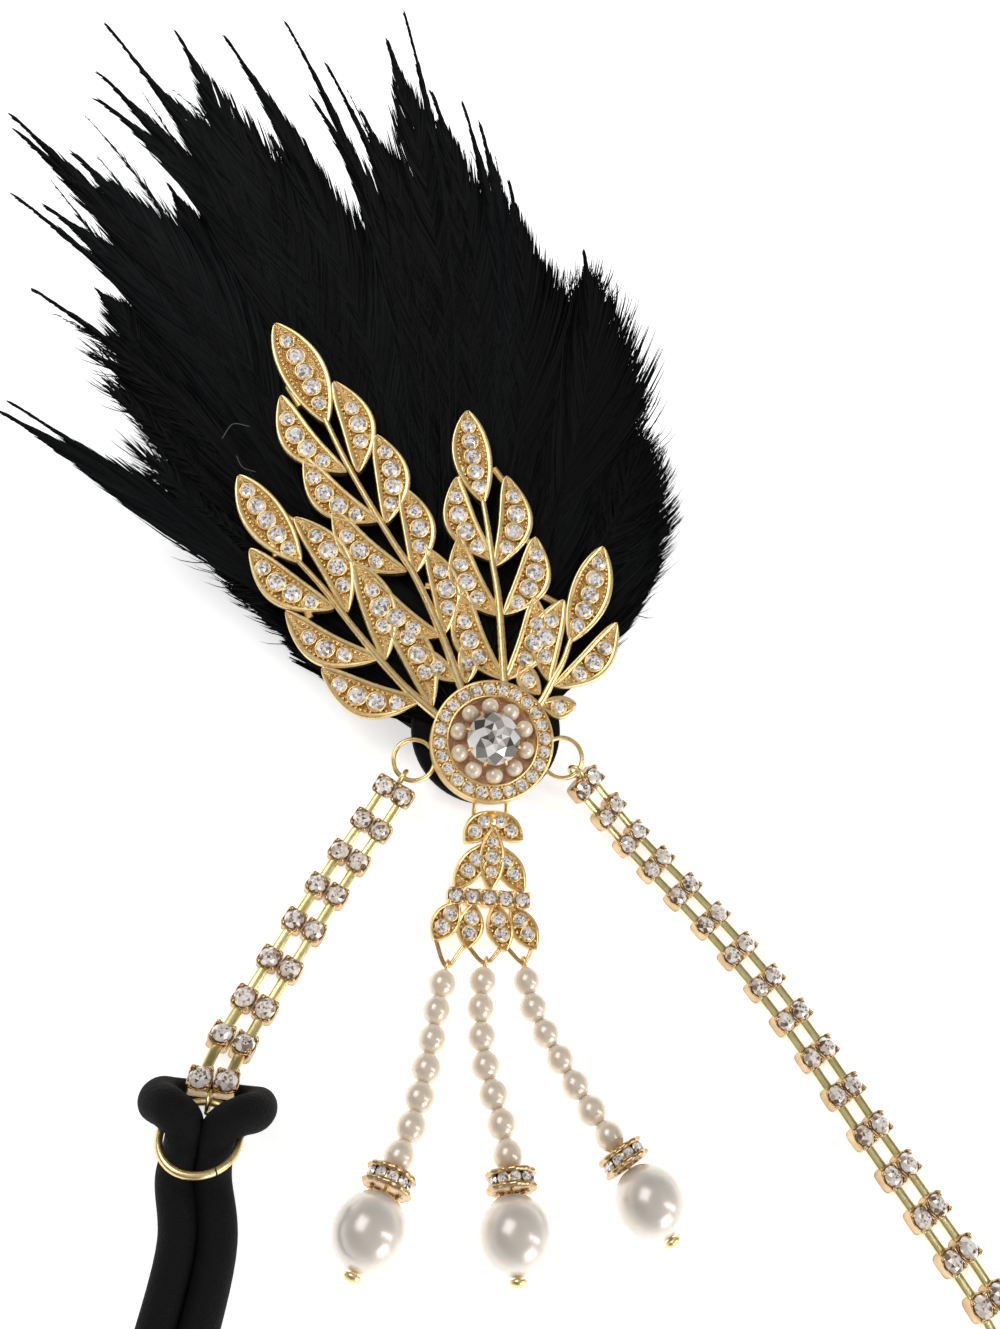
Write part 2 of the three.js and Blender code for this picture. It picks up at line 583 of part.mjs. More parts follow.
function dropOrnament() {
  const pieces = [];
  for (const { tip, foot, width, stones } of DROP_LEAVES) {
    const a = onDrop(foot);
    const b = onDrop(tip);
    pieces.push(leaf(a, b, width * DROP_LENGTH, 0, DROP_THICK, DROP_RIM, DROP_RECESS));
    stones.forEach((share) => pieces.push(dropStone(a.clone().lerp(b, share), -DROP_RECESS)));
  }
  const left = onDrop(DROP_BAR.left);
  const right = onDrop(DROP_BAR.right);
  const reach = left.distanceTo(right);
  const turn = new THREE.Matrix4().makeRotationZ(Math.atan2(right.y - left.y, right.x - left.x));
  const bar = new THREE.BoxGeometry(reach, DROP_BAR.width * DROP_LENGTH, DROP_THICK);
  const middle = left.clone().add(right).divideScalar(2);
  pieces.push(solid(bar, turn.setPosition(middle.x, middle.y, -DROP_THICK / 2)));
  for (let i = 0; i < DROP_BAR.stones; i++) {
    const at = left.clone().lerp(right, (i + 0.5) / DROP_BAR.stones);
    pieces.push(dropStone(at, 0));
  }
  for (const { from, low, to } of HANGERS) {
    const points = [from, low, to].map((share) => dropPoint(share, DROP_THICK / 2));
    pieces.push(wire(points, HANGER_WIRE_R));
  }
  const eyeAt = BAIL_DROP.clone().applyMatrix4(dropFrame.clone().invert());
  const eye = new THREE.TorusGeometry(EYE_R, EYE_WIRE_R, ROUND.wire, ROUND.bead).rotateY(Math.PI / 2);
  pieces.push(solid(eye, move(eyeAt)));
  return fuse(pieces).transform(dropFrame.elements);
}

// Strings of pearls

const stringPitch = 2 * BEAD_R + BEAD_SPACE;
const firstBead = STRING_EYE_R + BEAD_R;
const rondelleAt = firstBead + (BEADS - 1) * stringPitch + BEAD_R + BEAD_SPACE + RONDELLE_W / 2;
const dropPearlAt = rondelleAt + RONDELLE_W / 2 + GAP + DROP_PEARL_HALF;
const tipAt = dropPearlAt + DROP_PEARL_HALF + GAP / 2 + TIP_LENGTH / 2;

function stringCurve({ low, string }) {
  const start = dropPoint(low, DROP_THICK / 2).applyMatrix4(dropFrame);
  const route = STRING_ROUTES[string].map(([across, along, height]) =>
    new THREE.Vector3(start.x + across, start.y + along, height),
  );
  return new THREE.CatmullRomCurve3([start, ...route]);
}

function placeOn(curve, distance) {
  const share = distance / curve.getLength();
  return frame(curve.getPointAt(share), curve.getTangentAt(share));
}

// The string is one skin: seven beads on a core that ends in a small tip below the last pearl.
function pearlString(curve) {
  const whole = curve.getLength();
  const on = (distance, radius) => ({ at: curve.getPointAt(distance / whole), radius });
  const stations = [on(STRING_EYE_R - SOLDER, CORE_R)];
  for (let i = 0; i < BEADS; i++) {
    const centre = firstBead + i * stringPitch;
    for (const turn of BEAD_TURNS.map(THREE.MathUtils.degToRad)) {
      stations.push(on(centre + BEAD_R * Math.sin(turn), BEAD_R * Math.cos(turn)));
    }
  }
  const start = tipAt - TIP_LENGTH / 2;
  const end = tipAt + TIP_LENGTH / 2;
  stations.push(on(start - SOLDER / 2, CORE_R), on(start, TIP_R * 0.8), on(end, TIP_R));
  const eye = new THREE.TorusGeometry(STRING_EYE_R, CORE_R * 0.7, ROUND.wire, ROUND.bead).rotateX(Math.PI / 2);
  return solid(tube(stations, ROUND.bead)).add(solid(eye, placeOn(curve, 0.01)));
}

function rondelle() {
  const hole = CORE_R + GAP;
  const half = RONDELLE_W / 2;
  const neck = RONDELLE_R - RONDELLE_NECK;
  return lathe(
    [
      [hole, -half],
      [RONDELLE_R - SOLDER, -half],
      [RONDELLE_R, -half + RONDELLE_LIP / 2],
      [neck, -half + RONDELLE_LIP],
      [neck, half - RONDELLE_LIP],
      [RONDELLE_R, half - RONDELLE_LIP / 2],
      [RONDELLE_R - SOLDER, half],
      [hole, half],
      [hole, -half],
    ],
    ROUND.pearl,
  ).rotateY(Math.PI / 2);
}

function dropPearl() {
  const hole = CORE_R + GAP;
  const rings = 8;
  const tilt = Math.asin(hole / DROP_PEARL_R);
  const arc = Array.from({ length: rings + 1 }, (_, i) => {
    const turn = -Math.PI / 2 + tilt + ((Math.PI - 2 * tilt) * i) / rings;
    return [DROP_PEARL_R * Math.cos(turn), DROP_PEARL_HALF * Math.sin(turn)];
  });
  return lathe([...arc, arc[0]], ROUND.pearl).rotateY(Math.PI / 2);
}

// Stone chains

// A pair of square cups soldered side by side, about the foot of the pair, X along the chain.
function cupPair() {
  const cups = new THREE.BoxGeometry(CUP, 2 * CUP, CUP_HEIGHT).translate(0, 0, CUP_HEIGHT / 2);
  const crowns = [-1, 1].map((side) => {
    const at = new THREE.Vector3(0, (side * CUP) / 2, CUP_HEIGHT);
    return solid(stone(CHAIN_STONE_R, CHAIN_CROWN), move(at));
  });
  return fuse([solid(cups), ...crowns]);
}

function linkBar(from, to, across) {
  const at = (place) => new THREE.Vector3(0, across, BAR_LEVEL + BAR_THICK / 2).applyMatrix4(place);
  const a = at(from);
  const b = at(to);
  const along = b.clone().sub(a);
  const reach = along.length() - CUP + SOLDER;
  const bar = new THREE.BoxGeometry(reach, BAR_W, BAR_THICK);
  return solid(bar, frame(a.add(b).divideScalar(2), along.normalize()));
}

// Middle of the eye beside an end pair.
const eyeCentre = new THREE.Vector3(CHAIN_EYE_REACH, 0, BAR_LEVEL + BAR_THICK / 2);

// The plate and eye that hold an end pair to its ring; side is -1 at the start, 1 at the end.
function chainEnd(place, side) {
  const reach = CHAIN_EYE_REACH - CHAIN_EYE_R - CUP / 2 + 2 * SOLDER;
  const outer = CHAIN_EYE_REACH - CHAIN_EYE_R + SOLDER;
  const outline = [
    new THREE.Vector2(outer - reach, -CUP * 0.8),
    new THREE.Vector2(outer, -BAR_W / 2),
    new THREE.Vector2(outer, BAR_W / 2),
    new THREE.Vector2(outer - reach, CUP * 0.8),
  ];
  const plateBody = plate(outline, BAR_LEVEL, BAR_LEVEL + BAR_THICK);
  const eye = new THREE.TorusGeometry(CHAIN_EYE_R, CHAIN_EYE_WIRE_R, ROUND.wire, ROUND.bead);
  eye.rotateX(Math.PI / 2).translate(...eyeCentre);
  const turned = new THREE.Matrix4().makeRotationZ(side > 0 ? 0 : Math.PI);
  return plateBody.add(solid(eye)).transform(place.clone().multiply(turned).elements);
}

// Where a pair sits on a chain's route; on a slope it is lifted until its lower edge clears the surface.
function pairPlace(curve, distance) {
  const place = placeOn(curve, distance);
  const [along, at] = [0, 3].map((column) => new THREE.Vector3().setFromMatrixColumn(place, column));
  return place.setPosition(at.setZ(Math.max(at.z, (Math.abs(along.z) * CUP) / 2)));
}

function chainPlaces(points) {
  const curve = new THREE.CatmullRomCurve3(points.map((p) => new THREE.Vector3(...p)), false, "centripetal");
  const usable = curve.getLength() - 2 * CHAIN_EYE_REACH;
  const pairs = Math.round(usable / CHAIN_PITCH) + 1;
  return Array.from({ length: pairs }, (_, i) =>
    pairPlace(curve, CHAIN_EYE_REACH + (usable * i) / (pairs - 1)),
  );
}

function stoneChain(places) {
  const pair = cupPair();
  const cups = places.map((place) => pair.transform(place.elements));
  const bars = places.slice(1).flatMap((place, i) =>
    [-1, 1].map((side) => linkBar(places[i], place, (side * CUP) / 2)),
  );
  return fuse([...cups, ...bars, chainEnd(places[0], -1), chainEnd(places[places.length - 1], 1)]);
}

// Elastic band

// The ring that hangs in a chain's last eye: its frame, X across and Y towards the chain, on the
// surface under the ring's middle, and the height of that middle.
function knotAt(places) {
  const last = places[places.length - 1];
  const eye = eyeCentre.clone().applyMatrix4(last);
  const along = new THREE.Vector3().setFromMatrixColumn(last, 0).negate().setZ(0).normalize();
  const up = new THREE.Vector3(0, 0, 1);
  const middle = eye.clone().addScaledVector(along, -RING_R * Math.cos(RING_TILT)).setZ(0);
  const place = new THREE.Matrix4().makeBasis(along.clone().cross(up), along, up).setPosition(middle);
  return { place, height: eye.z - RING_R * Math.sin(RING_TILT) };
}

function elasticRing({ place, height }) {
  const ring = new THREE.TorusGeometry(RING_R, RING_WIRE_R, ROUND.wire + 1, ROUND.ring + 4);
  ring.rotateX(RING_TILT).translate(0, 0, height);
  return solid(ring, place);
}

// One lark's head, from the run at its left to the run at its right, seen towards the chain.
function knotPoints(place) {
  const half = (side) =>
    KNOT.map(({ across, along, height, radius }) => ({
      at: new THREE.Vector3(side * across, along, height).multiplyScalar(BAND_R).applyMatrix4(place),
      radius: radius * BAND_R,
    }));
  const middle = {
    at: new THREE.Vector3(0, BIGHT.along, BIGHT.height).multiplyScalar(BAND_R).applyMatrix4(place),
    radius: BIGHT.radius * BAND_R,
  };
  return [...half(-1), middle, ...half(1).reverse()];
}

function bandRun(side) {
  const curve = new THREE.CatmullRomCurve3(BAND_ROUTE.map(([x, y]) => new THREE.Vector3(x, y, BAND_R)));
  return BAND_ROUTE.map((_, i) => {
    const share = i / (BAND_ROUTE.length - 1);
    const left = new THREE.Vector3(0, 0, 1).cross(curve.getTangentAt(share));
    const at = curve.getPointAt(share).addScaledVector(left, side * (BAND_R + GAP / 2));
    return { at, radius: BAND_R };
  });
}

function elasticBand(leftKnot, rightKnot) {
  const route = [
    ...knotPoints(leftKnot).reverse(),
    ...bandRun(-1),
    ...knotPoints(rightKnot).reverse(),
    ...bandRun(1).reverse(),
  ];
  return solid(tube(route, ROUND.band, true));
}

// Plume

function lock(tip, width, thick, lean, roll, bow, sag) {
  const turn = new THREE.Matrix4().makeRotationFromEuler(new THREE.Euler(lean, roll, 0)).setPosition(PLUME_ROOT);
  const axis = new THREE.Vector3(tip[0], tip[1], 0).multiplyScalar(PLUME_LENGTH);
  const length = axis.length();
  const along = axis.clone().divideScalar(length);
  const left = new THREE.Vector3(-along.y, along.x, 0);
  const up = new THREE.Vector3(0, 0, 1);
  const rings = LOCK_FORM.map(({ at, half, thick: depth }) => {
    const middle = axis.clone().multiplyScalar(at).addScaledVector(left, bow * length * Math.sin(Math.PI * at));
    middle.z += sag * (depth * thick - PLUME_ROOT.z);
    return Array.from({ length: ROUND.lock }, (_, k) => {
      const angle = (2 * Math.PI * (k + 0.5)) / ROUND.lock;
      return middle
        .clone()
        .addScaledVector(left, half * width * Math.cos(angle))
        .addScaledVector(up, depth * thick * Math.sin(angle))
        .applyMatrix4(turn);
    });
  });
  return solid(skin(rings, false));
}

function plume() {
  const locks = UPPER_LOCKS.map(({ tip, width, bow }) =>
    lock(tip, width * LOCK_WIDTH, LOCK_THICK, PLUME_LEAN, PLUME_ROLL, bow, 0),
  );
  const lower = LOWER_LOCKS.map(({ tip, width, thick, lean, sag }) =>
    lock(tip, width * LOCK_WIDTH, thick * LOCK_THICK, lean * PLUME_LEAN, 0, 0, sag),
  );
  const padTop = -MEDALLION_DEPTH - BACK_PLATE - 2 * GAP;
  const pad = new THREE.CylinderGeometry(PAD_R, PAD_R, PAD_THICK, ROUND.medallion / 2);
  pad.rotateX(Math.PI / 2).translate(0, PAD_SHIFT, padTop - PAD_THICK / 2);
  const binding = new THREE.CylinderGeometry(BINDING_R, BINDING_R, BINDING_LENGTH, ROUND.bead);
  binding.translate(0, BINDING_LENGTH / 2 + PLUME_ROOT.y - SOLDER, padTop - PAD_THICK - BINDING_R + 3 * GAP);
  const patch = new THREE.BoxGeometry(PATCH_W, PATCH_H, PATCH_THICK + SOLDER);
  patch.translate(0, -PATCH_DROP, padTop - PAD_THICK - (PATCH_THICK - SOLDER) / 2);
  const clearing = new THREE.BoxGeometry(PATCH_W + 2 * GAP, PATCH_H + 2 * GAP, PAD_R);
  clearing.translate(0, -PATCH_DROP, padTop - PAD_THICK - PATCH_THICK - PAD_R / 2);
  const quills = fuse([solid(binding, broochFrame), ...locks, ...lower]);
  const cleared = quills.subtract(solid(clearing, broochFrame));
  return fuse([cleared, solid(pad, broochFrame), solid(patch, broochFrame)]);
}

// Assembly

const headband = new THREE.Group();
headband.name = "feather_headband";

const materials = Object.fromEntries(
  Object.entries(FINISH).map(([name, look]) => [name, new THREE.MeshStandardMaterial(look)]),
);

function add(name, geometry, look, parent = headband) {
  const mesh = new THREE.Mesh(geometry, materials[look]);
  mesh.name = name;
  parent.add(mesh);
  return mesh;
}

const brooch = new THREE.Group();
brooch.name = "brooch";
brooch.position.set(0, 0, FACE_HEIGHT);
brooch.rotation.set(BROOCH_LEAN, BROOCH_ROLL, 0);
headband.add(brooch);
add("medallion_setting", geometryOf(medallionSetting()), "gold", brooch);
add("medallion_stone", medallionStone(), "stone", brooch);
for (let i = 0; i < RIM_PEARLS; i++) {
  const turn = (2 * Math.PI * (i + 0.5)) / RIM_PEARLS;
  const pearl = new THREE.SphereGeometry(RIM_PEARL_R, ROUND.bead, ROUND.bead / 2).rotateX(Math.PI / 2);
  const number = String(i + 1).padStart(2, "0");
  const mesh = add(`medallion_pearl_${number}`, pearl, "pearl", brooch);
  mesh.position.set(pearlRing * Math.cos(turn), pearlRing * Math.sin(turn), -PEARL_WELL + RIM_PEARL_R + SOLDER);
}
add("leaf_spray", geometryOf(leafSpray()), "gold", brooch);
add("feather_plume", geometryOf(plume()), "feather");
add("drop_ornament", geometryOf(dropOrnament()), "gold");

for (const hanger of HANGERS) {
  const curve = stringCurve(hanger);
  add(`pearl_string_${hanger.string}`, geometryOf(pearlString(curve)), "pearl");
  const wheel = add(`rondelle_${hanger.string}`, rondelle(), "rose");
  wheel.applyMatrix4(placeOn(curve, rondelleAt));
  const pearl = add(`drop_pearl_${hanger.string}`, dropPearl(), "pearl");
  pearl.applyMatrix4(placeOn(curve, dropPearlAt));
}

const knots = {};
for (const [side, points] of Object.entries(CHAIN_ROUTES)) {
  const places = chainPlaces(points);
  knots[side] = knotAt(places);
  add(`chain_${side}`, geometryOf(stoneChain(places)), "rose");
  add(`elastic_ring_${side}`, geometryOf(elasticRing(knots[side])), "gold");
}
add("elastic_band", geometryOf(elasticBand(knots.left.place, knots.right.place)), "elastic");

// The origin goes to the middle of the footprint, on the surface.
const bounds = new THREE.Box3().setFromObject(headband, true);
const centre = bounds.getCenter(new THREE.Vector3());
headband.position.set(-centre.x, -centre.y, -bounds.min.z);

export default headband;
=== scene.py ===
# The flapper feather headband dressed for its render. Sizes are in millimetres in the layout of the
# part's source, whose origin is on the surface under the middle of the medallion's face; every mesh
# is moved from there into the frame, in metres, when it is built.
import math

import bmesh
import bpy
import numpy as np
from mathutils import Matrix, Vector
from numpy.linalg import norm

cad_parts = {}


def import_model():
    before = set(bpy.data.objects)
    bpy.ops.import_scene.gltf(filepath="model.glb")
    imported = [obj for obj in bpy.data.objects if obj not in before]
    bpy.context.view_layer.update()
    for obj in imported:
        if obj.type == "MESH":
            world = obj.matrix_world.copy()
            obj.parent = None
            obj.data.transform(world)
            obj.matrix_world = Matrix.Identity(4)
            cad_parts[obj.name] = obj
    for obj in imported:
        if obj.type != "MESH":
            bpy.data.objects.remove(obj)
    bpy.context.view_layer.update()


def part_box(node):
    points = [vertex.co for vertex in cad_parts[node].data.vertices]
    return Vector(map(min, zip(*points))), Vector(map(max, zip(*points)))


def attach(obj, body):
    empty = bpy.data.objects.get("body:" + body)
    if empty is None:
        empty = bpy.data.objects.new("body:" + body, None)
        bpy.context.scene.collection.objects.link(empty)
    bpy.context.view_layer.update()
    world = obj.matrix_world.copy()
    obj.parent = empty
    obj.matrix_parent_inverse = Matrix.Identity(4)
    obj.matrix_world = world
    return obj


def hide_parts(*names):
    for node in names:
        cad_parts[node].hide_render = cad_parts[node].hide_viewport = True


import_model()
SEED = 1926
rng = np.random.default_rng(SEED)

MM = 0.001
BODY = "root"
POLE = 0.03  # how far a ball's last ring stays from its pole, in radians
SQUARE = ((-1, -1), (1, -1), (1, 1), (-1, 1))

# Sizes and places that the solids have too
FACE_HEIGHT = 14
BROOCH_LEAN = math.radians(20)
BROOCH_ROLL = math.radians(-6)
MEDALLION_R = 9.5
MEDALLION_DEPTH = 4.6
HALO_STONES = 24
HALO_STONE_R = 1.0
HALO_RING_R = 8.15
HALO_FLOOR = 0.55
INNER_RIM_R = 7.0
INNER_RIM = 0.3
WELL_DEPTH = 2.4
RIM_PEARL_R = 1.35
RIM_PEARLS = 10
PEARL_RING_R = 5.4
PEARL_LEVEL = -0.85
CENTRE_STONE_R = 4.1
CENTRE_STONE_RISE = 1.1
CENTRE_CROWN = 1.5
SPRAY_TOP = 4.2
SPRAY_REACH = 74
LEAF_THICK = 1.6
LEAF_RIM = 0.55
LEAF_RECESS = 0.5
STEM_R = 0.6
BACK_PLATE_R = 8.9
BACK_PLATE = 1
GAP = 0.3
CHAIN_RING_R = 3.25
CHAIN_RING_WIRE_R = 0.38
CHAIN_RINGS = ((-11.85, -1.8), (11.75, -2.4))
DROP_LEAN = math.radians(10.5)
DROP_TOP = (0, -9, 6.5)
DROP_LENGTH = 20.6
DROP_THICK = 1.6
DROP_RECESS = 0.45
BAIL_WIRE_R = 0.35
BAIL_DROP = (0, -10.2, 3.6)
BAIL_W = 5
EYE_R = 1
EYE_WIRE_R = 0.3
HANGER_WIRE_R = 0.28
BEAD_R = 1.9
BEADS = 7
BEAD_SPACE = 0.1
CORE_R = 0.3
STRING_EYE_R = 0.9
RONDELLE_R = 3.3
RONDELLE_W = 2.4
DROP_PEARL_R = 4.6
DROP_PEARL_HALF = 4.9
TIP_R = 1.1
TIP_LENGTH = 0.9
CUP = 3.3
CUP_HEIGHT = 2.3
CHAIN_STONE_R = 1.5
CHAIN_PITCH = 6
BAR_W = 1.1
BAR_THICK = 0.7
BAR_LEVEL = 0.7
CHAIN_EYE_R = 1.2
CHAIN_EYE_WIRE_R = 0.32
CHAIN_EYE_REACH = 2.5
BAND_R = 2.5
RING_R = 4.75
RING_WIRE_R = 0.5
RING_TILT = math.radians(-22)
PLUME_LENGTH = 150
PLUME_LEAN = math.radians(17)
PLUME_ROLL = math.radians(-6)
PLUME_ROOT = (0, 2, 6.1)
PAD_R = 12
PAD_THICK = 2
PAD_SHIFT = 3
PATCH_HALF = (4, 2.2)
PATCH_DROP = 3.6
PATCH_THICK = 0.5

# Sizes of the dressed pieces alone
WELL_FLOOR = 1.45  # the medallion's pearls sit in this floor
COLLET_TOP = 0.95
CLAWS = 8
CLAW_R = 0.24
HALO_GRAIN_R = 0.24
HALO_GRAINS_OUT = 0.82
WIDE_RIM = 1.75 * LEAF_RIM
LARGEST_STONE_R = 1.42
DROP_RIM = 0.55
DROP_STONE_R = 1.02
STEM_LEVEL = -0.4
BRIDGE_LEVEL = -0.85
BRIDGE_R = 0.62
BEAD_FULL = 1.08  # how much wider the small pearls are than in the solids
PEARL_FORM = 0.94  # how much shorter the large ones are
WHEEL_CORE_R = 2.45
WHEEL_FLANGE = 0.88
WHEEL_CRYSTALS = 10
ROPE_R = 0.93 * BAND_R  # two runs lie pressed together
BIND_R = 2.6
BIND_LENGTH = 18
HAIR_R = 0.07

# Fronds in thousandths of SPRAY_REACH: the stem's points, and the leaves, each with its tip, foot and
# width, the thousandths of its length that it bows to its left, and its number of stones
FRONDS = (
    (((-40, 80), (-90, 245), (-145, 385), (-190, 465), (-280, 640), (-330, 757)), (
        ((-437, 995), (-325, 745), 112, -20, 5), ((-427, 812), (-285, 625), 85, 100, 4),
        ((-307, 850), (-258, 625), 85, -80, 3), ((-377, 660), (-217, 508), 85, 100, 4),
        ((-215, 718), (-200, 504), 85, -80, 4), ((-317, 538), (-160, 390), 80, 100, 3),
        ((-163, 592), (-142, 385), 80, -80, 3), ((-240, 376), (-92, 240), 75, 100, 3),
        ((-112, 445), (-84, 246), 75, -80, 3), ((-131, 216), (-60, 140), 50, 50, 1),
        ((-42, 223), (-42, 135), 50, -50, 1),
    )),
    (((-100, 60), (-170, 127), (-227, 196), (-288, 278), (-335, 347), (-392, 417)), (
        ((-519, 618), (-388, 413), 100, 20, 5), ((-399, 519), (-290, 300), 85, -80, 4),
        ((-272, 415), (-213, 192), 85, -60, 3), ((-210, 303), (-117, 85), 80, -60, 3),
        ((-496, 446), (-319, 308), 85, 80, 4), ((-422, 304), (-225, 195), 80, 100, 3),
        ((-349, 176), (-140, 100), 85, 100, 4),
    )),
    (((40, 80), (41, 250), (39, 340), (32, 410), (26, 492), (19, 557)), (
        ((-5, 781), (20, 552), 98, 20, 5), ((-39, 615), (34, 412), 80, 100, 4),
        ((77, 618), (38, 400), 85, -100, 4), ((-41, 470), (40, 284), 80, 100, 3),
        ((134, 469), (50, 287), 85, -100, 4), ((-35, 345), (38, 140), 80, 100, 3),
        ((123, 328), (45, 140), 80, -100, 3),
    )),
    (((90, 60), (119, 89), (147, 135), (174, 177), (196, 228)), (
        ((288, 445), (194, 222), 100, -20, 5), ((186, 320), (138, 134), 80, 80, 3),
        ((304, 264), (150, 122), 75, -80, 3), ((82, 177), (116, 105), 55, 50, 1),
        ((196, 81), (118, 84), 55, -50, 1),
    )),
)
# Small bars between the leaves, in the same units
BRIDGES = (
    ((-410, 840), (-385, 790)), ((-375, 700), (-345, 650)), ((-310, 560), (-285, 530)),
    ((-345, 860), (-310, 840)), ((-250, 730), (-215, 700)), ((-190, 600), (-165, 580)),
    ((-150, 460), (-110, 430)), ((-450, 470), (-440, 430)), ((-390, 330), (-370, 290)),
    ((-430, 530), (-395, 510)), ((-300, 420), (-270, 405)), ((-230, 310), (-190, 300)),
    ((-20, 640), (-35, 600)), ((-30, 500), (-30, 455)), ((50, 640), (75, 600)),
    ((100, 480), (130, 450)), ((120, 345), (180, 310)), ((-120, 360), (-30, 340)),
)

# Plates of the drop as shares of DROP_LENGTH: tip, foot, width, height above the drop's plane as a
# share of DROP_THICK, and number of stones.
DROP_LEAVES = (
    ((-0.215, -0.19), (0.03, 0.03), 0.2, 0, 2),
    ((0.225, -0.2), (-0.02, 0.03), 0.2, 0, 2),
    ((-0.06, -0.56), (0.01, -0.08), 0.2, 0.25, 3),
    ((-0.325, -0.53), (-0.03, -0.2), 0.2, 0.05, 2),
    ((0.19, -0.585), (0.02, -0.22), 0.2, 0.05, 2),
    ((-0.5, -0.88), (-0.3, -0.62), 0.21, 0, 2),
    ((-0.27, -0.955), (-0.19, -0.64), 0.2, 0.06, 2),
    ((0.01, -0.995), (-0.04, -0.65), 0.2, 0.06, 2),
    ((0.235, -1), (0.09, -0.67), 0.2, 0, 2),
)
DROP_BAR = ((-0.385, -0.575), (0.225, -0.655), 5)
HANGERS = {
    "left": ((-0.49, -0.85), (-0.42, -1.06), (-0.29, -0.94)),
    "middle": ((-0.26, -0.93), (-0.14, -1.06), (-0.01, -0.96)),
    "right": ((0.03, -0.97), (0.14, -1.08), (0.22, -0.97)),
}
# Across and along from the hanger's low point, and height above the surface
STRING_ROUTES = {
    "left": (
        (-1.85, -5.08, 2.2), (-4.05, -12.68, 2.1), (-7.05, -20.48, 2.9), (-10.25, -26.08, 3.8),
        (-17.35, -39.18, 5.5),
    ),
    "middle": (
        (-1.52, -5.58, 2.2), (-2.02, -13.48, 2.1), (-1.12, -21.08, 2.9), (-0.92, -27.28, 3.8),
        (-2.32, -42.08, 5.5),
    ),
    "right": (
        (0.22, -6.47, 2.2), (2.92, -13.87, 2.1), (6.12, -21.47, 2.9), (8.42, -26.57, 3.8),
        (13.72, -40.47, 5.5),
    ),
}
CHAIN_ROUTES = {
    "left": (
        (-12.85, -1.5, 5.05), (-15, -4.4, 3.4), (-18, -8.2, 1.3), (-21.2, -12.2, 0.2), (-24.6, -17, 0),
        (-31.4, -27.1, 0), (-37.2, -36, 0), (-39.9, -41, 2), (-40.9, -44.1, 3.5), (-41.1, -46.4, 3.3),
    ),
    "right": (
        (14.02, -2.77, 7.53), (16.6, -5.3, 5.7), (20.4, -8.8, 3), (24.1, -12.6, 0.9), (28.1, -17.4, 0),
        (35, -27.3, 0), (41, -37.4, 0), (46, -48, 0), (50.4, -58.7, 0), (55.4, -70, 0), (60, -81.2, 0),
        (62.8, -92, 0), (64, -101, 0), (64.4, -106.5, 2), (64.5, -110, 3.5), (64.5, -112.4, 3.3),
    ),
}
BAND_ROUTE = (
    (-42.4, -61), (-44.6, -69.4), (-47.5, -82), (-50, -98), (-51, -115), (-49, -134), (-43.5, -152),
    (-34, -168), (-20, -181), (-3, -188.5), (15, -188), (31, -181), (44.5, -170), (54.5, -156), (61, -139),
)
# The lark's head at a ring, in shares of ROPE_R: across, along towards the chain, height, radius.
KNOT = (
    (0.97, -1.6, 1.15, 0.98), (0.9, -0.45, 2.1, 0.93), (0.96, 0.6, 3.0, 0.98), (1.85, 1.2, 3.2, 1.0),
    (2.6, 1.65, 2.4, 1.0), (2.55, 2.25, 1.25, 0.9), (1.7, 2.66, 0.62, 0.6),
)
BIGHT = (0, 2.7, 0.56, 0.55)

# Tips of the locks that end in points, as shares of PLUME_LENGTH in its plane, and their width
SPIKES = (
    (-0.53, 0.8, 0.09), (-0.52, 0.77, 0.11), (-0.43, 0.95, 0.06), (-0.44, 0.87, 0.1), (-0.44, 0.82, 0.12),
    (-0.333, 0.94, 0.15), (-0.287, 0.945, 0.09), (-0.212, 0.98, 0.05), (-0.18, 0.85, 0.1), (-0.16, 0.91, 0.05),
    (-0.047, 1.01, 0.05), (-0.07, 0.95, 0.15), (0.018, 0.86, 0.07), (0.04, 0.825, 0.09), (-0.02, 0.87, 0.12),
    (0.075, 0.73, 0.12), (0.16, 0.63, 0.13), (-0.522, 0.68, 0.05), (-0.49, 0.55, 0.05), (-0.505, 0.395, 0.07),
    (-0.5, 0.41, 0.03), (-0.38, 0.87, 0.15), (-0.3, 0.86, 0.14), (-0.26, 0.82, 0.14), (-0.11, 0.83, 0.14),
    (-0.01, 0.82, 0.14), (-0.45, 0.74, 0.14), (-0.48, 0.66, 0.12), (-0.22, 0.78, 0.14),
)
# Stray hairs on the plume, as x, y in its plane
HAIRS = (((-40.2, 54.3), (-38.4, 56.7), (-35.7, 56.0)), ((-37.9, 51.1), (-36.8, 48.7), (-34.7, 47.6)))
# Reach of the plume round its root: angle from the right in degrees, and share of PLUME_LENGTH.
ENVELOPE = (
    (28, 0.12), (36, 0.17), (44, 0.28), (48, 0.35), (52, 0.39), (56, 0.43), (60, 0.46), (64, 0.52),
    (68, 0.59), (72, 0.66), (76, 0.72), (80, 0.76), (88, 0.76), (92, 0.81), (96, 0.83), (100, 0.86),
    (104, 0.84), (108, 0.88), (112, 0.94), (116, 0.94), (120, 0.87), (124, 0.86), (128, 0.79), (132, 0.66),
    (136, 0.5), (140, 0.39), (144, 0.28), (148, 0.22), (155, 0.17), (165, 0.1),
)
# The rings of the main spread: name, share of the reach, and number of feathers
PLUME_RINGS = (("outer", 0.9, 30), ("middle", 0.8, 24), ("inner", 0.62, 18))
WISPS = 28
# Down at the right edge and at the lower left: angles from and to, number, and length of its barbs
DOWN = ((48, 74, 84, 19), (124, 142, 24, 13))
BARE_QUILL = 0.1  # the share of a quill that has no barbs

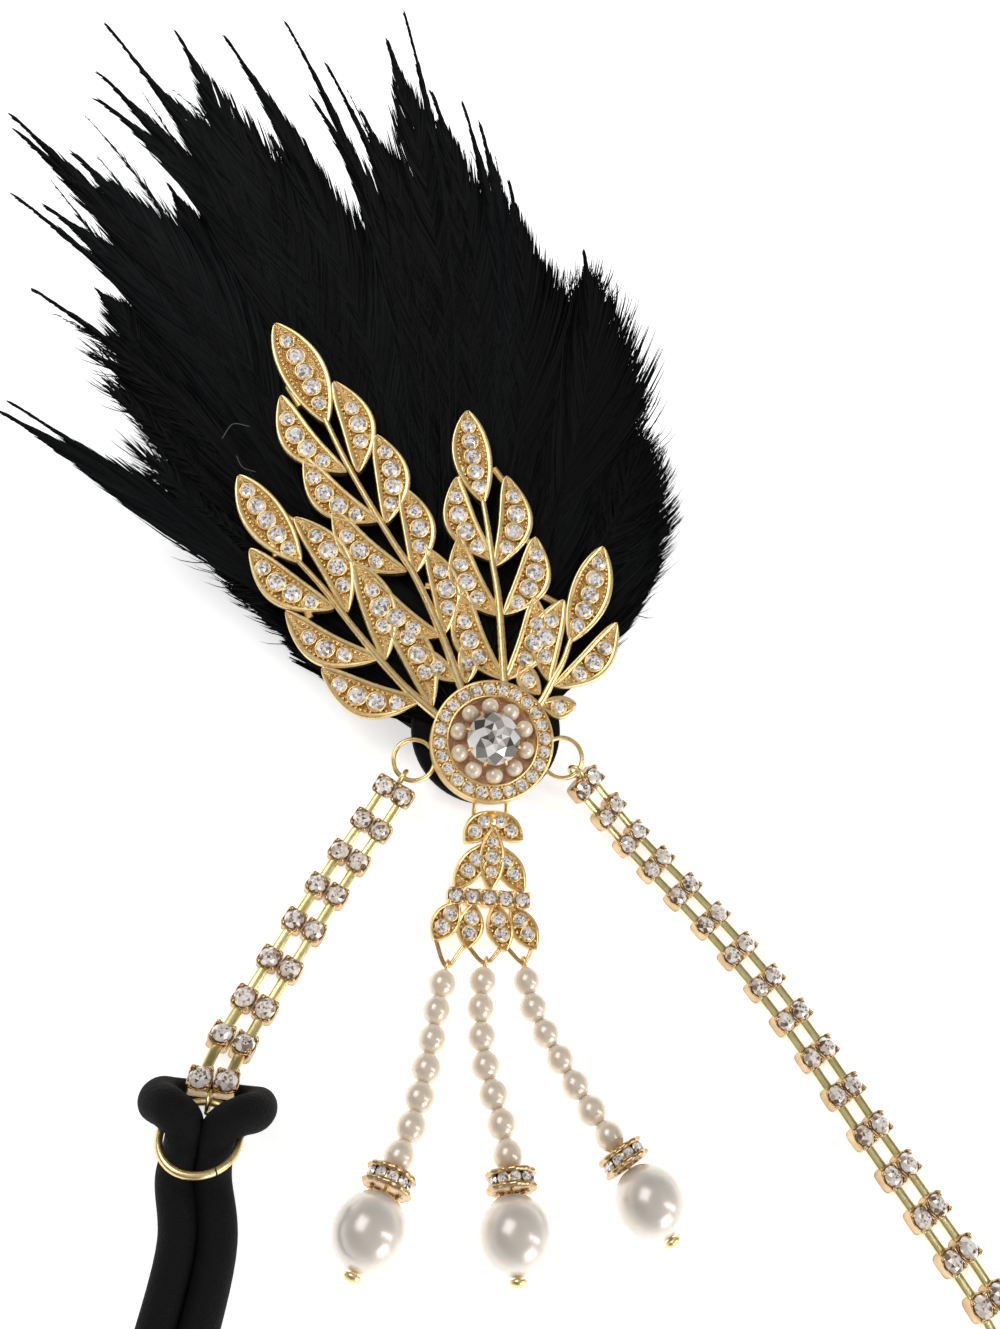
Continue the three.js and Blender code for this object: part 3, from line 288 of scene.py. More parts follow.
# Camera in the layout, lights in the frame in metres with their size and power
CAMERA_AT = (-37.457, -73.805, 143.52)
CAMERA_ACROSS = (0.96794, -0.14091, 0.20791)
CAMERA_UP = (0, 0.82779, 0.56104)
CAMERA_LENS = 27.09
CAMERA_CLIP = (0.005, 60)
PAPER_HALF = 15  # in metres
FLOOR_GLOW = 0.62
SKY_STRENGTH = 1.0
# The sky's light by the height of the way one looks, from the horizon to straight up
SKY = (
    (0.06, (1.0, 1.0, 1.0)), (0.25, (0.3, 0.3, 0.31)), (0.5, (0.12, 0.12, 0.13)), (0.72, (0.2, 0.2, 0.2)),
    (0.86, (0.5, 0.49, 0.48)), (1.0, (0.42, 0.42, 0.42)),
)
LIGHTS = (
    ("key", (-0.35, 0.25, 0.6), (0.5, 0.4), 2.2),
    ("fill", (0.5, -0.25, 0.45), (0.12, 0.5), 1.1),
    ("front", (0.42, -0.76, 0.34), (0.45, 0.4), 3.4),
)


# Places


def pose(lean, roll, at):
    """A frame turned about X by lean, then about its own Y by roll, with its origin at a point."""
    turned = Matrix.Rotation(lean, 4, "X") @ Matrix.Rotation(roll, 4, "Y")
    return np.array(Matrix.Translation(at) @ turned)


def apply(matrix, points):
    return np.asarray(points) @ matrix[:3, :3].T + matrix[:3, 3]


def unit(v):
    return v / norm(v, axis=-1, keepdims=True)


BROOCH = pose(BROOCH_LEAN, BROOCH_ROLL, (0, 0, FACE_HEIGHT))
DROP = pose(DROP_LEAN, 0, DROP_TOP)
PLUME = pose(PLUME_LEAN, PLUME_ROLL, PLUME_ROOT)

low, high = (np.array(corner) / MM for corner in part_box("medallion_setting"))
SHIFT = (low + high) / 2 - apply(BROOCH, (0, 0, -MEDALLION_DEPTH / 2))


def world(points):
    return (points + SHIFT) * MM


def axes_at(across, along, up, at):
    """A frame with these axes at a point."""
    matrix = np.eye(4)
    matrix[:3] = np.stack([across, along, up, at], 1)
    return matrix


def stand(at, along):
    """A frame at a point whose X runs along and whose Z is as far up as it can be."""
    along = unit(np.asarray(along, float))
    left = unit(np.cross((0, 0, 1), along))
    return axes_at(along, left, np.cross(along, left), at)


def shifted(at, scale=1.0):
    """A frame at a point, not turned, with its own scale."""
    matrix = np.eye(4) * scale
    matrix[:3, 3] = at
    matrix[3, 3] = 1
    return matrix


def turns(count, first=0.0):
    """Equal turns all the way round, in radians."""
    return 2 * np.pi * (np.arange(count) + first) / count


def around(radius, turn, height=0.0):
    """Points round Z."""
    return np.stack(np.broadcast_arrays(radius * np.cos(turn), radius * np.sin(turn), height), -1)


def circle(radius, count):
    return around(radius, turns(count))


def flat_points(points, reach, level):
    """Points of a plane given in shares of a reach, at a level."""
    return np.array([(x * reach, y * reach, level) for x, y in points])


def catmull(points, closed=False, steps=24):
    """A centripetal Catmull-Rom curve through points, of any width; the knots use x, y and z."""
    p = np.asarray(points, float)
    if closed:
        p = np.vstack([p[-1], p, p[0], p[1]])
    else:
        p = np.vstack([2 * p[0] - p[1], p, 2 * p[-1] - p[-2]])
    u = np.linspace(0, 1, steps, endpoint=False)[:, None]
    spans = []
    for a, b, c, d in zip(p[:-3], p[1:-2], p[2:-1], p[3:]):
        ta, tb, tc = (max(norm((n - m)[:3]) ** 0.5, 1e-6) for m, n in ((a, b), (b, c), (c, d)))
        m1 = ((b - a) / ta - (c - a) / (ta + tb) + (c - b) / tb) * tb
        m2 = ((c - b) / tb - (d - b) / (tb + tc) + (d - c) / tc) * tb
        spans.append(b + m1 * u + (3 * (c - b) - 2 * m1 - m2) * u**2 + (2 * (b - c) + m1 + m2) * u**3)
    return np.vstack(spans if closed else spans + [p[-2][None]])


class Route:
    """A curve that is asked for places by the distance along it."""

    def __init__(self, points):
        self.points = catmull(points)
        self.marks = np.concatenate([[0], np.cumsum(norm(np.diff(self.points, axis=0), axis=1))])
        self.length = self.marks[-1]

    def at(self, distance):
        return np.array([np.interp(distance, self.marks, self.points[:, k]) for k in range(3)])

    def place(self, distance):
        reach = 0.05
        return stand(self.at(distance), self.at(distance + reach) - self.at(distance - reach))


# Meshes


class Shape:
    """Faces gathered for one mesh, each with its finish, its tone and whether it is smooth."""

    def __init__(self):
        self.points, self.groups, self.count = [], [], 0

    def add(self, points, faces, finish=0, smooth=True, tone=0.5):
        faces = np.asarray(faces)
        size = len(faces)
        tones = np.broadcast_to(np.asarray(tone, float), (size,))
        finishes = np.broadcast_to(np.asarray(finish), (size,))
        self.points.append(np.asarray(points, float))
        self.groups.append((faces + self.count, finishes, np.full(size, smooth), tones))
        self.count += len(points)
        return self

    def loft(self, rings, closed=False, finish=0, ends=(0, 0), round_ends=False, tone=0.5):
        """Adds quads between rings of points, and a face at each end unless the rings close on themselves."""
        count, sides = rings.shape[:2]
        i = np.arange(count if closed else count - 1)[:, None]
        k = np.arange(sides)[None, :]
        here, ahead, step = i * sides, ((i + 1) % count) * sides, (k + 1) % sides
        quads = np.stack([here + k, here + step, ahead + step, ahead + k], -1).reshape(-1, 4)
        self.add(rings.reshape(-1, 3), quads, finish, True, tone)
        if not closed:
            for ring, worn in zip((rings[0], rings[-1]), ends):
                self.add(ring, k, worn, round_ends, tone)
        return self

    def stamp(self, form, matrix, finish=None, tone=None):
        """Adds another shape where a matrix puts it, its faces with fresh tones if a range is given."""
        base = self.count
        self.points.append(apply(matrix, np.vstack(form.points)))
        for faces, finishes, smooth, tones in form.groups:
            fresh = tones if tone is None else rng.choice(tone, len(faces))
            worn = finishes if finish is None else np.full(len(faces), finish)
            self.groups.append((faces + base, worn, smooth, fresh))
        self.count += form.count
        return self

    def gathered(self, column, kind):
        return np.concatenate([group[column] for group in self.groups]).astype(kind)

    def build(self, name, looks, slot, replaced=(), mend=True):
        """Makes the piece and says what it rides on, what it is made of and which solids it replaces."""
        mesh = bpy.data.meshes.new(name)
        points = world(np.vstack(self.points)).astype(np.float32)
        corners = np.concatenate([faces.ravel() for faces, *_ in self.groups]).astype(np.int32)
        sizes = np.concatenate([np.full(len(faces), faces.shape[1]) for faces, *_ in self.groups])
        starts = np.concatenate([[0], np.cumsum(sizes)[:-1]]).astype(np.int32)
        mesh.vertices.add(len(points))
        mesh.vertices.foreach_set("co", points.ravel())
        mesh.loops.add(len(corners))
        mesh.loops.foreach_set("vertex_index", corners)
        mesh.polygons.add(len(sizes))
        mesh.polygons.foreach_set("loop_start", starts)
        for material in looks:
            mesh.materials.append(material)
        mesh.polygons.foreach_set("material_index", self.gathered(1, np.int32))
        mesh.polygons.foreach_set("use_smooth", self.gathered(2, bool))
        mesh.update(calc_edges=True)
        tones = mesh.attributes.new("tone", "FLOAT", "FACE")
        tones.data.foreach_set("value", self.gathered(3, np.float32))
        if mend:
            outward(mesh)
        piece = put(name, mesh)
        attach(piece, BODY)
        if replaced:
            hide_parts(*replaced)


def put(name, data):
    """A new object of the scene."""
    made = bpy.data.objects.new(name, data)
    bpy.context.scene.collection.objects.link(made)
    return made


def outward(mesh):
    """Turns the faces of each closed body in a mesh outward."""
    work = bmesh.new()
    work.from_mesh(mesh)
    bmesh.ops.recalc_face_normals(work, faces=work.faces)
    work.to_mesh(mesh)
    work.free()


def tube(path, radius, sides=12, closed=False, flat=1.0):
    """A tube along a path. Its radius is one number or one for each point; flat squashes its height."""
    path = np.asarray(path, float)
    count = len(path)
    radius = np.broadcast_to(radius, (count,))
    ahead = np.roll(path, -1, 0) if closed else np.vstack([path[1:], 2 * path[-1] - path[-2]])
    behind = np.roll(path, 1, 0) if closed else np.vstack([2 * path[0] - path[1], path[:-1]])
    along = unit(ahead - behind)
    across = np.cross((0.0, 0.0, 1.0), along)
    across[norm(across, axis=1) < 0.05] = (1, 0, 0)
    across = unit(across)
    for i in range(1, count):
        if across[i] @ across[i - 1] < 0:
            across[i] *= -1
    up = np.cross(along, across)
    turn = turns(sides)
    rings = (
        path[:, None]
        + radius[:, None, None] * np.cos(turn)[None, :, None] * across[:, None]
        + flat * radius[:, None, None] * np.sin(turn)[None, :, None] * up[:, None]
    )
    return Shape().loft(rings, closed, round_ends=True)


def spin(profile, segments=48, finishes=None, closed=True, ripple=None):
    """A turned body about Z from a profile of radius and height; a closed profile makes a ring."""
    profile = np.asarray(profile, float)
    turn = turns(segments)
    radius = profile[:, :1] * (np.ones(segments) if ripple is None else ripple(turn))
    worn = 0 if finishes is None else np.repeat(finishes, segments)
    return Shape().loft(around(radius, turn, profile[:, 1:]), closed, worn)


def ball(radius, length=None, rows=14, segments=24):
    """A ball about Z, or an egg when its half length is given."""
    tilt = np.linspace(-np.pi / 2 + POLE, np.pi / 2 - POLE, rows + 1)
    half = length or radius
    return spin(np.stack([radius * np.cos(tilt), half * np.sin(tilt)], -1), segments, closed=False)


def cut_stone(crown=0.5, table=0.56, root=0.45):
    """A round cut stone of radius one: a table with a star, kites and girdle facets, and a pointed base."""
    eight, sixteen = np.arange(8), np.arange(16)
    points = np.vstack([
        around(table, eight * np.pi / 4, crown),
        around((1 + table) / 2, (eight + 0.5) * np.pi / 4, crown * 0.55),
        around(1.0, sixteen * np.pi / 8),
        around(table * 0.5, (eight + 0.5) * np.pi / 4, crown),
        [[0, 0, crown], [0, 0, -root]],
    ])
    t, k, g, q = eight, 8 + eight, 16 + 2 * eight, 32 + eight
    after, before = (eight + 1) % 8, (eight - 1) % 8
    facets = (
        np.stack([np.full(8, 40), q, 32 + after], -1),
        np.stack([q, t, after], -1),
        np.stack([q, after, 32 + after], -1),
        np.stack([t, k, after], -1),
        np.stack([k, g, g + 1], -1),
        np.stack([k, g + 1, 16 + (2 * eight + 2) % 16], -1),
        np.stack([16 + sixteen, 16 + (sixteen + 1) % 16, np.full(16, 41)], -1)[:, ::-1],
        np.stack([t, 8 + before, g, k], -1),
    )
    made = Shape()
    for faces in facets:
        made.add(points[:0], faces, smooth=False)
    made.points.append(points)
    made.count = len(points)
    return made


# Looks


def ramp(tree, source, stops):
    """The colour that a value has between stops."""
    made = tree.nodes.new("ShaderNodeValToRGB")
    for i, (at, colour) in enumerate(stops):
        stop = made.color_ramp.elements[i] if i < 2 else made.color_ramp.elements.new(at)
        stop.position = at
        stop.color = (*colour, 1)
    tree.links.new(source, made.inputs["Fac"])
    return made.outputs["Color"]


class Look:
    """A material whose shader starts with these values."""

    def __init__(self, name, colour, roughness, metallic=0.0, **extra):
        self.material = bpy.data.materials.new(name)
        self.material.use_nodes = True
        self.tree = self.material.node_tree
        self.shader = self.tree.nodes["Principled BSDF"]
        self.fill(self.shader, Base_Color=(*colour, 1), Roughness=roughness, Metallic=metallic, **extra)

    def fill(self, node, **values):
        for key, value in values.items():
            node.inputs[key.replace("_", " ")].default_value = value

    def node(self, kind, entry, source, **values):
        """A node with these values and a source at one of its entries."""
        made = self.tree.nodes.new("ShaderNode" + kind)
        self.fill(made, **values)
        self.tree.links.new(source, made.inputs[entry])
        return made.outputs

    def texture(self, kind, scale):
        """A texture in the object's own metres, with its scale in cycles for each millimetre."""
        place = self.tree.nodes.new("ShaderNodeTexCoord").outputs["Object"]
        return self.node(kind, "Vector", place, Scale=scale / MM, Detail=3.0)[0]

    def tone(self):
        """The tone of each face."""
        made = self.tree.nodes.new("ShaderNodeAttribute")
        made.attribute_name = "tone"
        return made.outputs["Fac"]

    def link(self, source, entry):
        self.tree.links.new(source, self.shader.inputs[entry])

    def tint(self, source, *stops):
        self.link(ramp(self.tree, source, stops), "Base Color")

    def bump(self, source, depth):
        raised = self.node("Bump", "Height", source, Strength=1.0, Distance=depth * MM)
        self.link(raised["Normal"], "Normal")


def metal(name, dark, bright, low, high):
    """Plated metal: soft casting ripples, a colour that drifts and a roughness that varies."""
    look = Look(name, bright, (low + high) / 2, 1.0)
    look.tint(look.texture("TexNoise", 0.35), (0.3, dark), (0.7, bright))
    ripple = look.texture("TexNoise", 1.4)
    spread = look.node("MapRange", "Value", ripple, From_Min=0.3, From_Max=0.7, To_Min=low, To_Max=high)
    look.link(spread["Result"], "Roughness")
    look.bump(ripple, 0.02)
    return look.material


def grained_with_painted_shading(look, dark, bright, far, scale, depth):
    """Small bumps, painted light on their tops and painted shade in the gaps between them."""
    bumps = look.texture("TexVoronoi", scale)
    look.tint(bumps, (0.1, bright), (far, dark))
    look.bump(bumps, depth)
    return look.material


def granulated(name, dark, bright, metallic=1.0):
    """The sunk floor round the stones, struck all over with small grains, painted light on top and painted
    shade between.
    """
    return grained_with_painted_shading(Look(name, bright, 0.35, metallic), dark, bright, 0.75, 2.6, -0.12)


def glass_stone(name, deep, middle, bright):
    """Foil-backed cut glass: each facet has a fixed tone from dark to bright, painted reflections and glints
    that stand in for the light its facets throw.
    """
    look = Look(name, bright, 0.06, 0.25, Coat_Weight=1.0, Coat_Roughness=0.02)
    look.tint(look.tone(), (0.0, deep), (0.45, middle), (1.0, bright))
    return look.material


def nacre(name, core, body, rim):
    """Pearl lustre: a base colour painted by the angle to the view, a warm core darkened as painted shade and
    a light rim as a painted reflection of the white paper, with a satin shine under a clear coat and a thin
    colour film.
    """
    look = Look(
        name, body, 0.27, 0.25, Coat_Weight=0.6, Coat_Roughness=0.2, Subsurface_Weight=0.1,
        Subsurface_Scale=0.001, Thin_Film_Thickness=320.0, Thin_Film_IOR=1.35,
    )
    # The core's warmth is the pearl's own, its darkness painted shade; the lighter rim is a painted
    # reflection.
    facing = look.tree.nodes.new("ShaderNodeLayerWeight")
    facing.inputs["Blend"].default_value = 0.35
    look.tint(facing.outputs["Facing"], (0.02, core), (0.3, body), (0.75, rim))
    look.bump(look.texture("TexNoise", 3.0), 0.006)
    return look.material


def barbs(name, dark, sheen):
    """Dull barbs, each feather with its own tone."""
    look = Look(name, dark, 0.6, Specular_IOR_Level=0.09)
    look.tint(look.tone(), (0.2, dark), (0.9, sheen))
    return look.material


def knitted(name, dark, bright):
    """Dull knitted yarn, its bumps painted light on top with painted shade between them."""
    return grained_with_painted_shading(Look(name, dark, 0.8, Specular_IOR_Level=0.2), dark, bright, 0.7, 2.2, -0.08)


GOLD = metal("satin_gold", (0.74, 0.51, 0.21), (0.89, 0.67, 0.33), 0.3, 0.44)
PALE_GOLD = metal("pale_gold", (0.85, 0.61, 0.27), (0.96, 0.75, 0.39), 0.24, 0.36)
LEMON_GOLD = metal("lemon_gold", (0.75, 0.62, 0.26), (0.9, 0.79, 0.42), 0.25, 0.35)
ROSE_GOLD = metal("rose_gold", (0.5, 0.33, 0.16), (0.78, 0.57, 0.32), 0.2, 0.32)
# The granulated floors carry painted light on their grains and painted shade between them.
FLOOR_GOLD = granulated("granulated_gold", (0.68, 0.45, 0.19), (0.96, 0.75, 0.42))
CORAL = granulated("coral_floor", (0.8, 0.48, 0.3), (0.98, 0.74, 0.52), 0.3)
# Each stone's tones run from deep to bright: painted reflections and glints, set facet by facet.
STONE = glass_stone("cut_glass", (0.2, 0.17, 0.15), (0.62, 0.55, 0.5), (0.98, 0.95, 0.92))
CHAMPAGNE = glass_stone("champagne_glass", (0.16, 0.1, 0.06), (0.74, 0.62, 0.52), (0.99, 0.96, 0.91))
CENTRE_GLASS = glass_stone("centre_glass", (0.07, 0.06, 0.055), (0.5, 0.46, 0.42), (0.95, 0.94, 0.92))
# A pearl's first colour is its core, darkened as painted shade; its last is its rim, lightened as a painted
# reflection.
CREAM_PEARL = nacre("cream_pearl", (0.72, 0.61, 0.47), (0.87, 0.78, 0.64), (0.94, 0.89, 0.79))
WHITE_PEARL = nacre("white_pearl", (0.64, 0.57, 0.49), (0.82, 0.78, 0.71), (0.93, 0.91, 0.86))
FEATHER = barbs("black_feather", (0.0012, 0.0013, 0.0015), (0.0045, 0.0056, 0.0066))
HAIR = barbs("pale_hair", (0.08, 0.08, 0.07), (0.16, 0.15, 0.14))
# The elastic's darker colour is painted shade between its bumps.
ELASTIC = knitted("black_elastic", (0.0015, 0.0015, 0.0018), (0.007, 0.007, 0.008))
METALS = (GOLD, PALE_GOLD, FLOOR_GOLD, ROSE_GOLD, CORAL, LEMON_GOLD)
AS_GOLD, AS_PALE, AS_FLOOR, AS_ROSE, AS_CORAL, AS_LEMON = range(6)

# Tones drawn for the facets, most of them bright: painted glints and reflections.
PAINTED_FACET_GLINTS = (1.0, 1.0, 0.95, 0.85, 0.75, 0.55, 0.45, 0.3, 0.1, 0.0)
GEM = cut_stone()
GRAIN = ball(1.0, rows=5, segments=8)
DOT = ball(1.0, rows=4, segments=6)
SEAT = spin(((1.22, -0.5), (1.16, 0.0), (1.07, 0.12), (0.97, 0.06), (0.97, -0.5)), 24)


# Shared forms


def disc(radius, low, high, edge=0.25, segments=64):
    outline = ((radius - edge, low), (radius, low + edge), (radius, high - edge), (radius - edge, high))
    return spin(outline, segments, closed=False)


def block(outline, low, high):
    """A block with an outline of four corners."""
    points = [(x, y, z) for z in (low, high) for x, y in outline]
    faces = ((0, 1, 2, 3), (4, 5, 6, 7), (0, 1, 5, 4), (1, 2, 6, 5), (2, 3, 7, 6), (3, 0, 4, 7))
    return Shape().add(points, faces, smooth=False)


TO_X = np.array(Matrix.Rotation(math.pi / 2, 4, "Y"))  # turns a form about Z to lie about X


def gem_at(metalwork, stones, matrix, at, radius, seated=True):
    """A stone in a round seat when seated, its facets with fresh tones of painted glints, and a turn of its
    own.
    """
    place = matrix @ shifted(at, radius) @ np.array(Matrix.Rotation(rng.uniform(0, 6.28), 4, "Z"))
    stones.stamp(GEM, place, tone=PAINTED_FACET_GLINTS)
    if seated:
        metalwork.stamp(SEAT, place, AS_PALE)


def square_cup(side, height, claw):
    """A square cup with rounded corners, its walls dipped between four claws."""
    turn = turns(32)
    form = (np.abs(np.cos(turn)) ** 5 + np.abs(np.sin(turn)) ** 5) ** -0.2
    corner = np.sin(2 * turn) ** 2
    dip = 0.2 * height * (1 - corner)
    rows = (
        (0.9, 0, 0), (0.99, 0.1, 0), (0.95, 0.5, 0), (1.0, 0.93, 1),
        (0.97, 1.0, 1), (0.88, 1.0, 1), (0.84, 0.9, 1), (0.82, 0.6, 0),
    )
    rings = [around(r * form, turn, z * height * 2 / side - w * dip * 2 / side) for r, z, w in rows]
    made = Shape().loft(np.array(rings) * side / 2, False, AS_ROSE, (AS_ROSE, AS_FLOOR))
    reach = side * 0.36
    for x, y in ((1, 1), (1, -1), (-1, 1), (-1, -1)):
        made.stamp(GRAIN, shifted((x * reach, y * reach, height + claw * 0.3), claw), AS_ROSE)
    return made


def leaf(metalwork, stones, matrix, foot, tip, width, bow, thick, rim, recess, count, largest, power=0.62):
    """A leaf: a rounded rim, a sunk granulated floor, a row of stones and a line of grains at each side.
    The power says how blunt its ends are."""
    length = norm(tip - foot)
    along = (tip - foot) / length
    left = np.array([-along[1], along[0]])
    stations = 36
    t = 0.5 * (1 - np.cos(np.pi * np.linspace(0.02, 0.98, stations)))

    def middle(share):
        share = np.atleast_1d(share)[:, None]
        return foot + share * length * along + bow * length * np.sin(np.pi * share) * left

    def half(share):
        return width / 2 * np.sin(np.pi * np.asarray(share) ** 1.08) ** power

    h = half(t)
    w = np.minimum(rim, 0.62 * h)
    depth = recess * np.clip((h - 0.8 * rim) / rim, 0, 1)
    inner = h - w
    zero = np.zeros(stations)
    sides = [
        (0.88 * h, zero - thick), (h, zero - 0.6 * thick), (h - 0.03 * w, zero - 0.16),
        (h - 0.16 * w, zero - 0.02), (h - 0.3 * w, zero), (h - 0.86 * w, zero - 0.02),
        (inner, -0.25 * depth - 0.08), (inner * 0.95, -depth),
    ]
    section = sides + [(zero, -depth)] + [(-x, z) for x, z in reversed(sides)]
    at = middle(t)
    rings = np.stack([np.concatenate([at + x[:, None] * left, z[:, None]], 1) for x, z in section], 1)
    finish = np.array([AS_GOLD] * 2 + [AS_PALE] * 5 + [AS_FLOOR] * 2 + [AS_PALE] * 5 + [AS_GOLD] * 3)
    body = Shape().loft(rings, False, np.tile(finish, stations - 1), (AS_PALE, AS_PALE))
    metalwork.stamp(body, matrix)
    pitch = min(0.82 * length / count, 2.2 * largest)
    for i in range(count):
        share = 0.5 + (i - (count - 1) / 2) * pitch / length
        end = count > 2 and i in (0, count - 1)
        radius = min(largest * (0.8 if end else 1), 0.62 * half(share), 0.47 * pitch)
        gem_at(metalwork, stones, matrix, (*middle(share)[0], -recess + 0.42 * radius), radius)
    grains = np.arange(0.1, 0.92, 0.78 / length)
    for side in (-1, 1):
        for share in grains:
            room = half(share) - min(rim, 0.62 * half(share)) - 0.25
            if room > 0.3:
                spot = middle(share)[0] + side * room * left
                size = 0.26 * rng.uniform(0.85, 1.1)
                metalwork.stamp(DOT, matrix @ shifted((*spot, -recess + 0.08), size), AS_PALE)


# Medallion

setting, halo = Shape(), Shape()
edge, inner_edge = MEDALLION_R - 0.35, INNER_RIM_R - 0.15
profile = (
    (0.05, -MEDALLION_DEPTH), (edge, -MEDALLION_DEPTH), (MEDALLION_R, -MEDALLION_DEPTH + 0.35),
    (MEDALLION_R, -1.1), (MEDALLION_R - 0.12, -1.0), (MEDALLION_R, -0.85), (MEDALLION_R, -0.15),
    (MEDALLION_R - 0.1, -0.02),
    (edge + 0.1, 0), (edge, -0.12), (edge, -HALO_FLOOR), (inner_edge + INNER_RIM, -HALO_FLOOR),
    (inner_edge + INNER_RIM, -0.08), (inner_edge + 0.22, 0.03), (inner_edge + 0.08, 0.03), (inner_edge, -0.1),
    (inner_edge, -WELL_FLOOR), (3, -WELL_FLOOR), (0.05, -WELL_FLOOR),
)
worn = [AS_GOLD] * 5 + [AS_PALE] * 5 + [AS_FLOOR] + [AS_PALE] * 5 + [AS_CORAL] * 2
setting.stamp(spin(profile, 128, worn, closed=False), BROOCH)
for turn in turns(HALO_STONES):
    gem_at(setting, halo, BROOCH, around(HALO_RING_R, turn, -0.3), HALO_STONE_R * 0.9)
    for reach in (-HALO_GRAINS_OUT, HALO_GRAINS_OUT):
        spot = around(HALO_RING_R + reach, turn + math.pi / HALO_STONES, -0.38)
        setting.stamp(GRAIN, BROOCH @ shifted(spot, HALO_GRAIN_R), AS_PALE)
collet_r = CENTRE_STONE_R - GAP
collet = (
    (collet_r * 0.72, -WELL_DEPTH), (collet_r * 0.98, COLLET_TOP - 0.2), (collet_r * 0.99, COLLET_TOP),
    (collet_r * 0.9, COLLET_TOP), (collet_r * 0.6, -WELL_DEPTH),
)
setting.stamp(spin(collet, 64), BROOCH, AS_PALE)
for turn in turns(CLAWS, 0.5):
    reaches = ((3.3, -1.4), (4.05, 0.4), (4.32, 1.15), (4.1, 1.6), (3.75, 1.85))
    path = [around(r, turn, z) for r, z in reaches]
    setting.stamp(tube(catmull(path, steps=5), CLAW_R, 8), BROOCH, AS_PALE)
setting.build("setting", METALS, "gold", ["medallion_setting"])
halo.build("halo_stones", [STONE], "stone")

stone = Shape()
big = cut_stone(CENTRE_CROWN / CENTRE_STONE_R, 0.55, 0.6)
stone.stamp(big, BROOCH @ shifted((0, 0, CENTRE_STONE_RISE), CENTRE_STONE_R), tone=PAINTED_FACET_GLINTS)
stone.build("centre_stone", [CENTRE_GLASS], "stone", ["medallion_stone"])

pearls = Shape()
small_pearl = ball(RIM_PEARL_R, rows=20, segments=32)
for turn in turns(RIM_PEARLS, 0.5):
    pearls.stamp(small_pearl, BROOCH @ shifted(around(PEARL_RING_R, turn, PEARL_LEVEL)))
pearl_nodes = [f"medallion_pearl_{i + 1:02d}" for i in range(RIM_PEARLS)]
pearls.build("medallion_pearls", [CREAM_PEARL], "pearl", pearl_nodes)

# Leaf spray

spray, spray_stones = Shape(), Shape()
on_spray = BROOCH @ shifted((0, 0, -SPRAY_TOP))
level = -MEDALLION_DEPTH - GAP - BACK_PLATE / 2
for stem, leaves in FRONDS:
    for *sizes, count in leaves:
        tip, foot, width, bow = (np.array(size) / 1000 for size in sizes)
        leaf(spray, spray_stones, on_spray, foot * SPRAY_REACH, tip * SPRAY_REACH, 0.94 * width * SPRAY_REACH,
             1.5 * bow, LEAF_THICK, WIDE_RIM, LEAF_RECESS, count, LARGEST_STONE_R)
    points = flat_points(np.array(stem) / 1000, SPRAY_REACH, STEM_LEVEL)
    path = catmull(points, steps=10)
    spray.stamp(tube(path, STEM_R * np.linspace(1.3, 0.8, len(path)), 14), on_spray, AS_PALE)
    foot = unit(points[0, :2]) * (BACK_PLATE_R - 2 * BACK_PLATE)
    arm = np.array([(*foot, level), (*points[1, :2], -SPRAY_TOP - LEAF_THICK + STEM_R)])
    spray.stamp(tube(arm, BACK_PLATE / 2, 10), BROOCH, AS_GOLD)
for ends in BRIDGES:
    bar = flat_points(np.array(ends) / 1000, SPRAY_REACH, BRIDGE_LEVEL)
    spray.stamp(tube(bar, BRIDGE_R, 10), on_spray, AS_GOLD)
spray.stamp(disc(BACK_PLATE_R, level - BACK_PLATE / 2, level + BACK_PLATE / 2), BROOCH, AS_GOLD)
for x, y in CHAIN_RINGS:
    ring = tube(circle(CHAIN_RING_R, 48), CHAIN_RING_WIRE_R, 12, True)
    spray.stamp(ring, BROOCH @ shifted((x, y, level)), AS_PALE)
sides = (-BAIL_W / 2, BAIL_W / 2)
feet = [np.array((x, -BACK_PLATE_R * 0.85, level)) for x in sides]
low_left, low_right = (apply(np.linalg.inv(BROOCH), np.array(BAIL_DROP) + (x, 0, 0)) for x in sides)
bail = [
    feet[0], feet[0] * 0.3 + low_left * 0.7, low_left * 0.88 + low_right * 0.12,
    low_left * 0.12 + low_right * 0.88, feet[1] * 0.3 + low_right * 0.7, feet[1],
]
spray.stamp(tube(catmull(bail, steps=8), BAIL_WIRE_R, 10), BROOCH, AS_PALE)
spray.build("spray", METALS, "gold", ["leaf_spray"])
spray_stones.build("spray_stones", [STONE], "stone")

# Drop ornament

drop, drop_stones = Shape(), Shape()
for tip, foot, width, lift, count in DROP_LEAVES:
    raised = DROP @ shifted((0, 0, lift * DROP_THICK))
    foot, tip = np.array(foot) * DROP_LENGTH, np.array(tip) * DROP_LENGTH
    leaf(drop, drop_stones, raised, foot, tip, width * DROP_LENGTH, 0, DROP_THICK,
         DROP_RIM, DROP_RECESS, count, DROP_STONE_R, 0.7)
bar_left, bar_right, bar_count = DROP_BAR
ends = flat_points((bar_left, bar_right), DROP_LENGTH, 0)
bar_pitch = norm(ends[1] - ends[0]) / bar_count
bar_frame = stand(ends[0], ends[1] - ends[0])
bar_cup = square_cup(bar_pitch * 0.99, DROP_THICK + 0.7, 0.3)
for i in range(bar_count):
    place = DROP @ bar_frame @ shifted(((i + 0.5) * bar_pitch, 0, -DROP_THICK))
    drop.stamp(bar_cup, place, AS_PALE)
    gem_at(drop, drop_stones, place, (0, 0, DROP_THICK + 0.5), DROP_STONE_R, False)
for points in HANGERS.values():
    path = flat_points(points, DROP_LENGTH, -DROP_THICK / 2)
    drop.stamp(tube(catmull(path, steps=10), HANGER_WIRE_R * 1.25, 10), DROP, AS_ROSE)
eye = circle(EYE_R, 28)[:, [2, 0, 1]]
